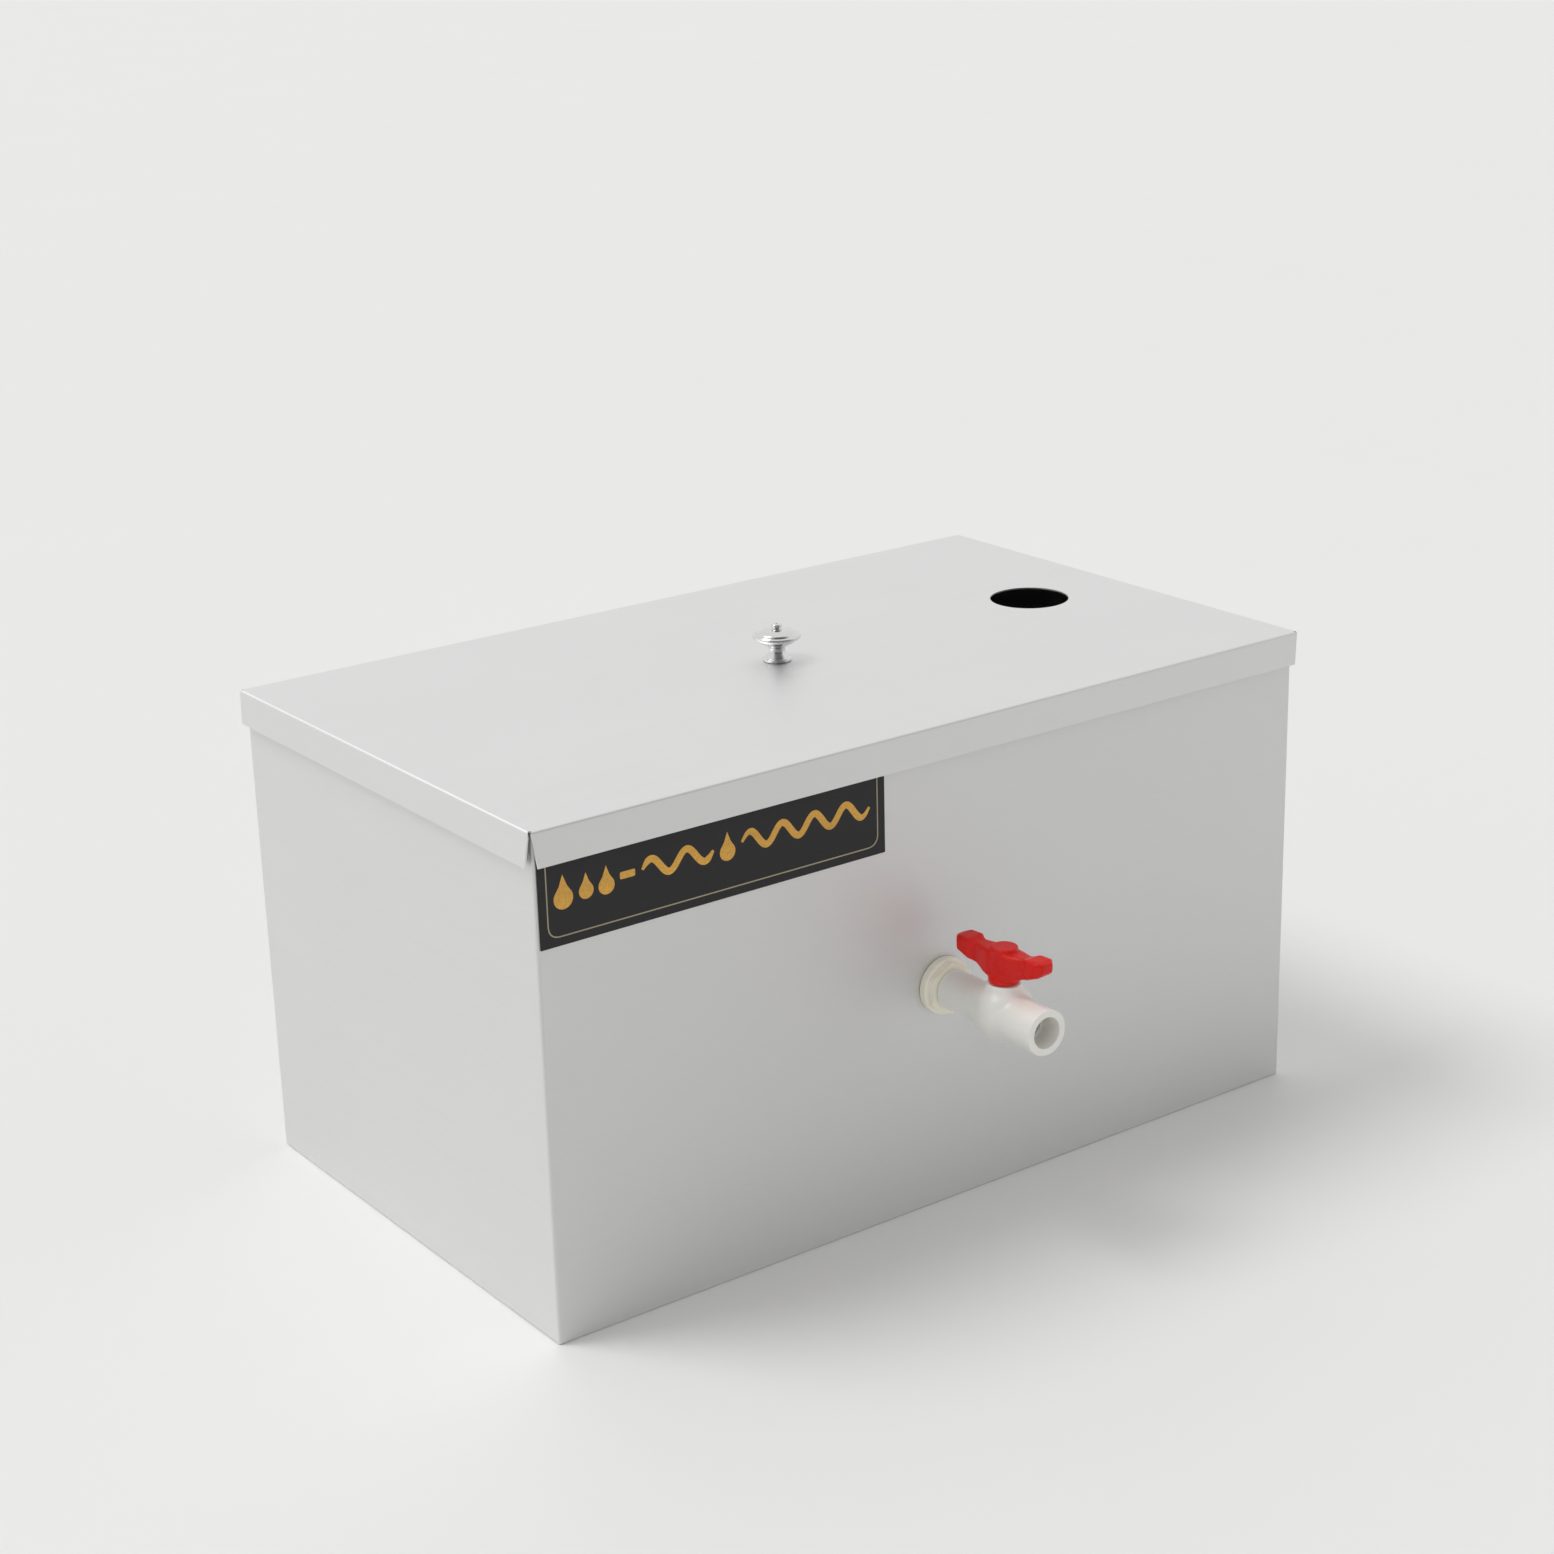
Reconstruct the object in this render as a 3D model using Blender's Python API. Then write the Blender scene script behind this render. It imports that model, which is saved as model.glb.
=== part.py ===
"""Under-sink grease trap: folded stainless tank, lift-off lid, baffles, strainer basket and drain valve.

Units are metres. +Z is up, +X runs along the front, and the front wall with the valve faces -Y.
The origin is the middle of the tank's underside.
"""

import math

import bmesh
import bpy
from mathutils import Matrix, Vector

# Clearances
FIT = 0.0003
BORE_FIT = 0.0003
SLIDE_FIT = 0.0006

# Tank: one folded sheet, welded at the corners
TANK_LENGTH = 0.600
TANK_DEPTH = 0.350
TANK_HEIGHT = 0.3237
TANK_SHEET = 0.0010
TANK_CORNER = 0.0022
TANK_LIP = 0.010

# Lid
LID_SHEET = 0.0010
LID_PLAY = 0.0020
LID_SKIRT = 0.0220
LID_FLARE = 0.0018
LID_BEND = 0.0016
LID_CORNER_TAPER = 0.0034
LID_CORNER_GAP = 0.0013
LID_CORNER_SETBACK = 0.0006

# Inlet hole in the lid
INLET_DIAMETER = 0.0550
INLET_FROM_END = 0.0760
INLET_Y = 0.0050

# Knob in the middle of the lid, held by a screw from below
KNOB_BASE_RADIUS = 0.0095
KNOB_WAIST_RADIUS = 0.0055
KNOB_CAP_RADIUS = 0.0161
KNOB_FOOT = 0.0014
KNOB_WAIST_LOW = 0.0062
KNOB_WAIST_TOP = 0.0092
KNOB_CAP_HEIGHT = 0.0168
KNOB_DOME_HEIGHT = 0.0207
KNOB_BUTTON_RADIUS = 0.0036
KNOB_BUTTON_NECK = 0.0026
KNOB_BUTTON_DEPTH = 0.0026
KNOB_HEIGHT = 0.0246
KNOB_EDGE = 0.0006
KNOB_SCREW_DIAMETER = 0.0040
KNOB_SCREW_GRIP = 0.0090
KNOB_HOLE_SPARE = 0.0010
SCREW_HEAD_DIAMETER = 0.0080
SCREW_HEAD_HEIGHT = 0.0026
SCREW_RECESS_ARM = 0.0021
SCREW_RECESS_HALF_WIDTH = 0.00045
SCREW_RECESS_TURN = math.radians(10)
KNOB_WASHER_DIAMETER = 0.0150
KNOB_WASHER_THICKNESS = 0.0010

# Label on the front wall
LABEL_LEFT = 0.0020
LABEL_LENGTH = 0.2480
LABEL_HEIGHT = 0.0550
LABEL_TOP_BELOW_RIM = 0.0167
LABEL_THICKNESS = 0.0005

# Baffles and the channels that hold them
BAFFLE_SHEET = 0.0015
BAFFLE_HEIGHT = 0.2850
BAFFLE_INLET_FROM_END = 0.2050
BAFFLE_OUTLET_FROM_END = 0.1500
BAFFLE_FLOW_GAP = 0.0600
BAFFLE_FOOT = 0.0260
BAFFLE_FLOW_CORNER = 0.0120
BAFFLE_GRIP_DIAMETER = 0.0280
BAFFLE_GRIP_DROP = 0.0300
GUIDE_SHEET = 0.0010
GUIDE_REACH = 0.0120
GUIDE_HEIGHT = 0.2600

# Strainer basket on two rails under the inlet
BASKET_FROM_END = 0.0950
BASKET_LENGTH_X = 0.1600
BASKET_LENGTH_Y = 0.2960
BASKET_DROP = 0.1100
BASKET_SHEET = 0.0012
BASKET_RIM_X = 0.0080
BASKET_RIM_Y = 0.0150
BASKET_HOLE_DIAMETER = 0.0080
BASKET_HOLE_PITCH = 0.0330
BASKET_WALL_PITCH = 0.0550
RAIL_TOP = 0.2350
RAIL_LEG = 0.0220
RAIL_SHEET = 0.0015
RAIL_PAST_BASKET = 0.0090
RAIL_END_GAP = 0.0040

# Basket bail and its ears
BAIL_WIRE_RADIUS = 0.0020
BAIL_ARM = 0.0750
BAIL_BEND = 0.0120
BAIL_HOOK_END = 0.0028
EAR_SHEET = 0.0015
EAR_WIDTH = 0.0160
EAR_RIM = 0.0040
EAR_FOOT = 0.0070

# Drain valve on the front wall
VALVE_X = -0.0050
VALVE_Z = 0.1520
VALVE_GASKET_THICKNESS = 0.0020
VALVE_GASKET_DIAMETER = 0.0300
VALVE_FLANGE_DIAMETER = 0.0376
VALVE_DISC_THICKNESS = 0.0032
VALVE_HEX_ACROSS_FLATS = 0.0310
VALVE_HEX_THICKNESS = 0.0042
VALVE_THREAD_DIAMETER = 0.0260
VALVE_THREAD_INSIDE = 0.0150
VALVE_NUT_ACROSS_FLATS = 0.0360
VALVE_NUT_THICKNESS = 0.0080
VALVE_NUT_CHAMFER = 0.0012
VALVE_SOCKET_DIAMETER = 0.0196
VALVE_SOCKET_DEPTH = 0.0150
VALVE_BORE = 0.0150
NIPPLE_BORE = 0.0145
VALVE_TUBE_DIAMETER = 0.0312
VALVE_INNER_TUBE_DIAMETER = 0.0262
VALVE_STEP_START = 0.0240
VALVE_STEP_END = 0.0130
VALVE_BULGE = 0.0028
VALVE_BULGE_HALF_LENGTH = 0.0190
STEM_REACH = 0.0596
VALVE_REACH = 0.0996
NECK_HEIGHT = 0.0208
NECK_RADIUS = 0.0110
NECK_FLARE = 0.0045
NECK_FLARE_DROP = 0.0035
MOULDED_EDGE = 0.0008
CUT_PAST = 0.0050

# Ball, seats and stem
BALL_DIAMETER = 0.0240
SEAT_OUTER_DIAMETER = 0.0260
SEAT_BACK = 0.0140
SEAT_FRONT = 0.0050
SLOT_WIDTH = 0.0046
SLOT_DEPTH = 0.0030
STEM_DIAMETER = 0.0100
STEM_SQUARE = 0.0070
STEM_SQUARE_HEIGHT = 0.0130
STEM_TONGUE_INSET = 0.0006
STEM_OVERLAP = 0.0005
O_RING_SECTION = 0.0017
O_RING_BELOW_NECK = 0.0035

# Bow-tie handle
HANDLE_HEIGHT = 0.0232
HANDLE_BASE_RADIUS = 0.0098
HANDLE_TOP_RADIUS = 0.0088
HANDLE_WAIST_RADIUS = 0.0082
HANDLE_BASE_HEIGHT = 0.0036
HANDLE_EDGE = 0.0012
WING_REACH = 0.0372
WING_ROOT_REACH = 0.0040
WING_WEB_END = 0.0190
WING_PAD_START = 0.0248
WING_ROOT_WIDTH = 0.0136
WING_SHOULDER_WIDTH = 0.0112
WING_WEB_WIDTH = 0.0070
WING_PAD_WIDTH = 0.0150
WING_PAD_THICKNESS = 0.0088
WING_TIP_CUT = 0.0026
WING_TOP_DROP = 0.0008
WING_ROOT_LIFT = 0.0034
WING_CHAMFER = 0.0014
HANDLE_REST_TURN = math.radians(5)

# Outlet in the rear wall, with the elbow and drop pipe inside
OUTLET_FROM_END = 0.0750
OUTLET_Z = 0.2150
PIPE_DIAMETER = 0.0500
PIPE_WALL = 0.0030
OUTLET_SPIGOT = 0.0450
OUTLET_FLANGE_DIAMETER = 0.0780
OUTLET_FLANGE_THICKNESS = 0.0050
OUTLET_GASKET_THICKNESS = 0.0030
OUTLET_GASKET_DIAMETER = 0.0740
OUTLET_THREAD_DIAMETER = 0.0570
OUTLET_THREAD_INSIDE = 0.0160
OUTLET_NUT_DIAMETER = 0.0740
OUTLET_NUT_THICKNESS = 0.0100
OUTLET_NUT_LUG = 0.0040
OUTLET_NUT_LUGS = 8
OUTLET_INNER_SPIGOT = 0.0240
ELBOW_WALL = 0.0030
ELBOW_SOCKET = 0.0220
ELBOW_BEND = 0.0360
ELBOW_STRAIGHT = 0.0010
DROP_PIPE_BOTTOM = 0.0560

# Facets
ROUND_SIDES = 24
SMALL_SIDES = 16
WIRE_SIDES = 10
TUBE_SIDES = 28

LEFT_X = -TANK_LENGTH / 2
RIGHT_X = TANK_LENGTH / 2
FRONT_Y = -TANK_DEPTH / 2
REAR_Y = TANK_DEPTH / 2
INLET_X = RIGHT_X - INLET_FROM_END
BAFFLE_INLET_X = RIGHT_X - BAFFLE_INLET_FROM_END
BAFFLE_OUTLET_X = LEFT_X + BAFFLE_OUTLET_FROM_END
BASKET_X = RIGHT_X - BASKET_FROM_END
OUTLET_X = LEFT_X + OUTLET_FROM_END
LID_UNDERSIDE = TANK_HEIGHT + FIT
LID_TOP = LID_UNDERSIDE + LID_SHEET
VALVE_FLANGE_BACK = FIT + VALVE_GASKET_THICKNESS + FIT
VALVE_DISC_FRONT = VALVE_FLANGE_BACK + VALVE_DISC_THICKNESS
VALVE_FLANGE_FRONT = VALVE_DISC_FRONT + VALVE_HEX_THICKNESS
VALVE_BODY_START = VALVE_FLANGE_FRONT + FIT
OUTLET_FLANGE_BACK = FIT + OUTLET_GASKET_THICKNESS + FIT
OUTLET_FLANGE_FRONT = OUTLET_FLANGE_BACK + OUTLET_FLANGE_THICKNESS
BASKET_RIM_UNDERSIDE = RAIL_TOP + FIT
BASKET_RIM_TOP = BASKET_RIM_UNDERSIDE + BASKET_SHEET
BAIL_AXIS_Z = BASKET_RIM_TOP + FIT + BAIL_WIRE_RADIUS


def clear_scene():
    """Removes every object of the scene."""
    for old in list(bpy.data.objects):
        bpy.data.objects.remove(old, do_unlink=True)


def finish(name, colour, roughness, metallic):
    """A Principled material of one colour."""
    made = bpy.data.materials.new(name)
    made.use_nodes = True
    shader = made.node_tree.nodes["Principled BSDF"]
    shader.inputs["Base Color"].default_value = (*colour, 1.0)
    shader.inputs["Roughness"].default_value = roughness
    shader.inputs["Metallic"].default_value = metallic
    return made


def stainless():
    return finish("brushed_stainless", (0.62, 0.62, 0.61), 0.38, 1.0)


def chrome():
    return finish("chrome", (0.80, 0.80, 0.80), 0.08, 1.0)


def white_plastic():
    return finish("white_plastic", (0.80, 0.80, 0.77), 0.45, 0.0)


def cream_plastic():
    return finish("cream_plastic", (0.76, 0.73, 0.60), 0.50, 0.0)


def red_plastic():
    return finish("red_plastic", (0.62, 0.03, 0.02), 0.40, 0.0)


def grey_plastic():
    return finish("grey_plastic", (0.42, 0.43, 0.45), 0.50, 0.0)


def seat_plastic():
    return finish("seat_plastic", (0.86, 0.86, 0.84), 0.35, 0.0)


def silicone_rubber():
    return finish("silicone_rubber", (0.52, 0.51, 0.47), 0.60, 0.0)


def label_film():
    return finish("label_film", (0.035, 0.033, 0.034), 0.45, 0.0)


def face_skin(builder, sample, direction):
    """Turns an open skin so that its sample face looks along the direction."""
    bmesh.ops.recalc_face_normals(builder, faces=builder.faces)
    if sample.normal.dot(Vector(direction)) < 0:
        bmesh.ops.reverse_faces(builder, faces=builder.faces)


def add_object(
    name, mesh_builder, material, location=(0, 0, 0), turn=(0, 0, 0), parent=None, sharp=35, closed=True
):
    """Makes a named object from a filled bmesh and closes the bmesh."""
    if closed:
        bmesh.ops.recalc_face_normals(mesh_builder, faces=mesh_builder.faces)
    mesh = bpy.data.meshes.new(name)
    mesh_builder.to_mesh(mesh)
    mesh_builder.free()
    mesh.shade_smooth()
    mesh.set_sharp_from_angle(angle=math.radians(sharp))
    if material is not None:
        mesh.materials.append(material)
    made = bpy.data.objects.new(name, mesh)
    bpy.context.scene.collection.objects.link(made)
    made.location = location
    made.rotation_euler = turn
    made.parent = parent
    return made


def add_axis(name, location, turn=(0, 0, 0)):
    """An empty that stands on a joint's axis."""
    made = bpy.data.objects.new(name, None)
    bpy.context.scene.collection.objects.link(made)
    made.location = location
    made.rotation_euler = turn
    return made


def boolean(target, tool, operation):
    """Cuts or joins a hidden tool."""
    tool.hide_render = True
    tool.display_type = "WIRE"
    made = target.modifiers.new(tool.name, "BOOLEAN")
    made.operation = operation
    made.object = tool
    made.solver = "EXACT"


def skin(builder, rings, caps=True, loop=False):
    """Joins rings of equal count with faces, and caps the ends or joins the last ring to the first."""
    made = [[builder.verts.new(point) for point in ring] for ring in rings]
    pairs = list(zip(made, made[1:]))
    if loop:
        pairs.append((made[-1], made[0]))
    for lower, upper in pairs:
        count = len(lower)
        for index in range(count):
            after = (index + 1) % count
            builder.faces.new((lower[index], lower[after], upper[after], upper[index]))
    if caps and not loop:
        builder.faces.new(list(reversed(made[0])))
        builder.faces.new(made[-1])


def turned(profile, sides, loop=True):
    """A body turned about Z from (radius, height) pairs: a closed ring, or with loop off a capped stack."""
    builder = bmesh.new()
    angles = [math.tau * index / sides for index in range(sides)]
    rings = [[(r * math.cos(a), r * math.sin(a), z) for a in angles] for r, z in profile]
    skin(builder, rings, loop=loop)
    return builder


def tube(outer, inner, bottom, top, sides=ROUND_SIDES):
    """A plain ring or pipe about Z."""
    return turned([(inner, bottom), (outer, bottom), (outer, top), (inner, top)], sides)


def rod(radius, bottom, top, sides=ROUND_SIDES):
    """A plain closed cylinder about Z."""
    return turned([(radius, bottom), (radius, top)], sides, loop=False)


def block(size, centre=(0, 0, 0)):
    """A box by its size and centre."""
    builder = bmesh.new()
    bmesh.ops.create_cube(builder, size=1.0)
    builder.transform(Matrix.Translation(centre) @ Matrix.Diagonal((*size, 1.0)))
    return builder


def prism(outline, bottom, top):
    """An outline in XY raised between two heights."""
    builder = bmesh.new()
    skin(builder, [[(x, y, z) for x, y in outline] for z in (bottom, top)])
    return builder


def arc(centre, radius, start, end, steps):
    """Points of an arc in the plane, both ends included, with angles in degrees."""
    angles = [math.radians(start + (end - start) * index / steps) for index in range(steps + 1)]
    return [(centre[0] + radius * math.cos(a), centre[1] + radius * math.sin(a)) for a in angles]


def rounded_rectangle(half_x, half_y, radius, steps=3):
    """Outline of a rectangle about the origin with round corners."""
    outline = []
    for quarter, (sign_x, sign_y) in enumerate(((1, 1), (-1, 1), (-1, -1), (1, -1))):
        centre = (sign_x * (half_x - radius), sign_y * (half_y - radius))
        outline += arc(centre, radius, 90 * quarter, 90 * quarter + 90, steps)
    return outline


def rectangle_ring(half_x, half_y, inset, radius, height):
    """One level of a folded box."""
    return [(x, y, height) for x, y in rounded_rectangle(half_x - inset, half_y - inset, radius)]


def tank_shell(material):
    """Open box with a rim lip folded inwards, and holes for the valve and the outlet."""
    half_x = TANK_LENGTH / 2
    half_y = TANK_DEPTH / 2
    inner_corner = TANK_CORNER - TANK_SHEET
    levels = [
        (TANK_SHEET, TANK_CORNER, 0.0),
        (0.0, TANK_CORNER, TANK_SHEET),
        (0.0, TANK_CORNER, TANK_HEIGHT - TANK_SHEET),
        (TANK_SHEET, TANK_CORNER, TANK_HEIGHT),
        (TANK_LIP, inner_corner, TANK_HEIGHT),
        (TANK_LIP, inner_corner, TANK_HEIGHT - TANK_SHEET),
        (TANK_SHEET, inner_corner, TANK_HEIGHT - TANK_SHEET),
        (TANK_SHEET, inner_corner, TANK_SHEET),
    ]
    builder = bmesh.new()
    skin(builder, [rectangle_ring(half_x, half_y, inset, radius, z) for inset, radius, z in levels])
    tank = add_object("tank_shell", builder, material)
    reach = 10 * TANK_SHEET
    valve_hole = rod(VALVE_THREAD_DIAMETER / 2 + BORE_FIT, -reach, reach)
    boolean(tank, front_piece("cut_valve_hole", valve_hole, None), "DIFFERENCE")
    outlet_hole = rod(OUTLET_THREAD_DIAMETER / 2 + BORE_FIT, -reach, reach)
    boolean(tank, rear_piece("cut_outlet_hole", outlet_hole, None), "DIFFERENCE")


def lid(material):
    """Flat sheet with four skirts bent down, slightly flared and split at the corners."""
    half_x = TANK_LENGTH / 2 + LID_PLAY + LID_SHEET
    half_y = TANK_DEPTH / 2 + LID_PLAY + LID_SHEET
    flare = math.atan2(LID_FLARE, LID_SKIRT)
    bend_steps = 4
    builder = bmesh.new()
    top_loop = []
    for quarter in range(4):
        along, across = (half_x, half_y) if quarter % 2 == 0 else (half_y, half_x)
        place = Matrix.Rotation(math.radians(90 * quarter), 4, "Z")
        setback = LID_BEND + LID_CORNER_SETBACK
        rows = []
        for step in range(bend_steps + 1):
            share = step / bend_steps
            angle = (math.radians(90) - flare) * share
            end = along - setback + (setback - LID_CORNER_GAP) * share
            out = across - LID_BEND + LID_BEND * math.sin(angle)
            rows.append((end, out, LID_TOP - LID_BEND + LID_BEND * math.cos(angle)))
        _, fold_out, fold_z = rows[-1]
        drop = LID_SKIRT - (LID_TOP - fold_z)
        rows.append((along - LID_CORNER_TAPER, fold_out + drop * math.tan(flare), fold_z - drop))
        made = []
        for reach, out, z in rows:
            left = builder.verts.new(place @ Vector((-reach, -out, z)))
            right = builder.verts.new(place @ Vector((reach, -out, z)))
            made.append((left, right))
        for upper, lower in zip(made, made[1:]):
            builder.faces.new((upper[0], lower[0], lower[1], upper[1]))
        top_loop += made[0]
    face_skin(builder, builder.faces.new(top_loop), (0, 0, 1))
    cover = add_object("lid", builder, material, closed=False)
    thickness = cover.modifiers.new("sheet", "SOLIDIFY")
    thickness.thickness = LID_SHEET
    thickness.offset = -1
    thickness.use_even_offset = True
    reach = 10 * LID_SHEET
    inlet = rod(INLET_DIAMETER / 2, -reach, reach, TUBE_SIDES)
    boolean(cover, add_object("cut_inlet", inlet, None, (INLET_X, INLET_Y, LID_TOP)), "DIFFERENCE")
    screw = rod(KNOB_SCREW_DIAMETER / 2 + BORE_FIT, -reach, reach, SMALL_SIDES)
    boolean(cover, add_object("cut_knob_screw", screw, None, (0, 0, LID_TOP)), "DIFFERENCE")


def lid_knob(material):
    """Turned mushroom knob with a small button on top and a blind hole for its screw."""
    steps = 5
    taper = KNOB_BASE_RADIUS - KNOB_EDGE - KNOB_WAIST_RADIUS
    foot_rise = KNOB_WAIST_LOW - KNOB_FOOT
    cup_reach = KNOB_CAP_RADIUS - KNOB_WAIST_RADIUS
    cup_rise = KNOB_CAP_HEIGHT - 2 * KNOB_EDGE - KNOB_WAIST_TOP
    dome_rise = KNOB_DOME_HEIGHT - KNOB_CAP_HEIGHT - KNOB_EDGE
    button_base = KNOB_HEIGHT - KNOB_BUTTON_DEPTH
    profile = [(KNOB_BASE_RADIUS, 0.0), (KNOB_BASE_RADIUS, KNOB_FOOT - KNOB_EDGE)]
    for share in [index / steps for index in range(steps + 1)]:
        profile.append((KNOB_WAIST_RADIUS + taper * (1 - share) ** 2, KNOB_FOOT + foot_rise * share))
    for angle in [math.radians(5 + 80 * index / steps) for index in range(steps + 1)]:
        radius = KNOB_WAIST_RADIUS + cup_reach * math.sin(angle)
        profile.append((radius, KNOB_WAIST_TOP + cup_rise * (1 - math.cos(angle))))
    profile.append((KNOB_CAP_RADIUS, KNOB_CAP_HEIGHT))
    for angle in [math.radians(72 * index / steps) for index in range(steps + 1)]:
        radius = (KNOB_CAP_RADIUS - KNOB_EDGE) * math.cos(angle)
        profile.append((radius, KNOB_CAP_HEIGHT + KNOB_EDGE + dome_rise * math.sin(angle)))
    profile += [
        (KNOB_BUTTON_NECK, KNOB_DOME_HEIGHT),
        (KNOB_BUTTON_NECK, button_base),
        (KNOB_BUTTON_RADIUS, button_base + KNOB_EDGE),
        (KNOB_BUTTON_RADIUS, KNOB_HEIGHT - KNOB_EDGE),
        (KNOB_BUTTON_RADIUS - KNOB_EDGE, KNOB_HEIGHT),
    ]
    place = (0, 0, LID_TOP + FIT)
    knob = add_object("lid_knob", turned(profile, ROUND_SIDES, loop=False), material, place, sharp=50)
    depth = KNOB_SCREW_GRIP + KNOB_HOLE_SPARE
    hole = rod(KNOB_SCREW_DIAMETER / 2 + BORE_FIT, -CUT_PAST, depth, SMALL_SIDES)
    boolean(knob, add_object("cut_knob_hole", hole, None, place), "DIFFERENCE")


def lid_knob_screw(steel):
    """Screw and washer under the lid that hold the knob."""
    washer_top = LID_UNDERSIDE - FIT
    washer_bottom = washer_top - KNOB_WASHER_THICKNESS
    hole = KNOB_SCREW_DIAMETER / 2 + BORE_FIT
    washer = tube(KNOB_WASHER_DIAMETER / 2, hole, washer_bottom, washer_top, SMALL_SIDES)
    add_object("lid_knob_washer", washer, steel)
    head_top = washer_bottom - FIT
    shank = KNOB_SCREW_DIAMETER / 2
    head = SCREW_HEAD_DIAMETER / 2
    steps = 3
    profile = []
    for angle in [math.radians(30 + 60 * index / steps) for index in range(steps + 1)]:
        profile.append((head * math.sin(angle), head_top - SCREW_HEAD_HEIGHT * math.cos(angle)))
    profile += [(shank, head_top), (shank, LID_TOP + FIT + KNOB_SCREW_GRIP)]
    screw = add_object("lid_knob_screw", turned(profile, SMALL_SIDES, loop=False), steel)
    arm = SCREW_RECESS_ARM
    half = SCREW_RECESS_HALF_WIDTH
    cross = [(arm, half), (half, half), (half, arm), (-half, arm), (-half, half), (-arm, half)]
    cross += [(-x, -y) for x, y in cross]
    recess = prism(cross, head_top - CUT_PAST, head_top - SCREW_HEAD_HEIGHT / 2)
    cutter = add_object("cut_screw_recess", recess, None, turn=(0, 0, SCREW_RECESS_TURN))
    boolean(screw, cutter, "DIFFERENCE")


def label_plate(material):
    """Dark film plate on the front wall, whose top edge goes up under the lid's skirt."""
    left = -TANK_LENGTH / 2 + LABEL_LEFT
    top = TANK_HEIGHT - LABEL_TOP_BELOW_RIM
    centre = (
        left + LABEL_LENGTH / 2,
        FRONT_Y - FIT - LABEL_THICKNESS / 2,
        top - LABEL_HEIGHT / 2,
    )
    add_object("label_plate", block((LABEL_LENGTH, LABEL_THICKNESS, LABEL_HEIGHT)), material, centre)


def baffle(name, x, material):
    """Lift-out plate that stands on two feet and leaves a flow opening along the floor."""
    floor = TANK_SHEET + FIT
    half = TANK_DEPTH / 2 - TANK_SHEET - FIT - GUIDE_SHEET - SLIDE_FIT
    step_in = half - BAFFLE_FOOT
    corner = BAFFLE_FLOW_CORNER
    opening_top = floor + BAFFLE_FLOW_GAP
    top = floor + BAFFLE_HEIGHT
    outline = [(half, floor), (half, top), (-half, top), (-half, floor), (-step_in, floor)]
    outline += arc((-step_in + corner, opening_top - corner), corner, 180, 90, 4)
    outline += arc((step_in - corner, opening_top - corner), corner, 90, 0, 4)
    outline += [(step_in, floor)]
    builder = prism(outline, -BAFFLE_SHEET / 2, BAFFLE_SHEET / 2)
    builder.transform(Matrix(((0, 0, 1, 0), (1, 0, 0, 0), (0, 1, 0, 0), (0, 0, 0, 1))))
    plate = add_object(name, builder, material, (x, 0, 0))
    grip = rod(BAFFLE_GRIP_DIAMETER / 2, -5 * BAFFLE_SHEET, 5 * BAFFLE_SHEET, SMALL_SIDES)
    place = (x, 0, top - BAFFLE_GRIP_DROP)
    boolean(plate, add_object(f"cut_{name}", grip, None, place, (0, math.radians(90), 0)), "DIFFERENCE")


def baffle_guide(name, x, side, material):
    """U channel on the tank wall; side is -1 at the front and 1 at the rear."""
    slot = BAFFLE_SHEET / 2 + SLIDE_FIT / 2
    leg = slot + GUIDE_SHEET
    outline = [
        (-leg, 0.0),
        (leg, 0.0),
        (leg, GUIDE_REACH),
        (slot, GUIDE_REACH),
        (slot, GUIDE_SHEET),
        (-slot, GUIDE_SHEET),
        (-slot, GUIDE_REACH),
        (-leg, GUIDE_REACH),
    ]
    builder = prism(outline, 0.0, GUIDE_HEIGHT)
    wall = side * (TANK_DEPTH / 2 - TANK_SHEET - FIT)
    turn = (0, 0, math.radians(180) if side > 0 else 0)
    add_object(name, builder, material, (x, wall, TANK_SHEET + FIT), turn)


def perforated_panel(builder, columns, rows, across, down, corner, place):
    """A sheet panel with one round hole in each cell; place maps panel (u, v) to a point."""
    radius = BASKET_HOLE_DIAMETER / 2
    cell_u = across / columns
    cell_v = down / rows
    for column in range(columns):
        for row in range(rows):
            centre_u = corner[0] + (column + 0.5) * cell_u
            centre_v = corner[1] + (row + 0.5) * cell_v
            hole = []
            border = []
            for index in range(8):
                angle = math.radians(45 * index)
                direction = (math.cos(angle), math.sin(angle))
                stretch = max(abs(direction[0]), abs(direction[1]))
                hole.append(place(centre_u + radius * direction[0], centre_v + radius * direction[1]))
                edge_u = centre_u + direction[0] / stretch * cell_u / 2
                edge_v = centre_v + direction[1] / stretch * cell_v / 2
                border.append(place(edge_u, edge_v))
            hole = [builder.verts.new(point) for point in hole]
            border = [builder.verts.new(point) for point in border]
            for index in range(8):
                after = (index + 1) % 8
                builder.faces.new((hole[index], border[index], border[after], hole[after]))


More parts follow.
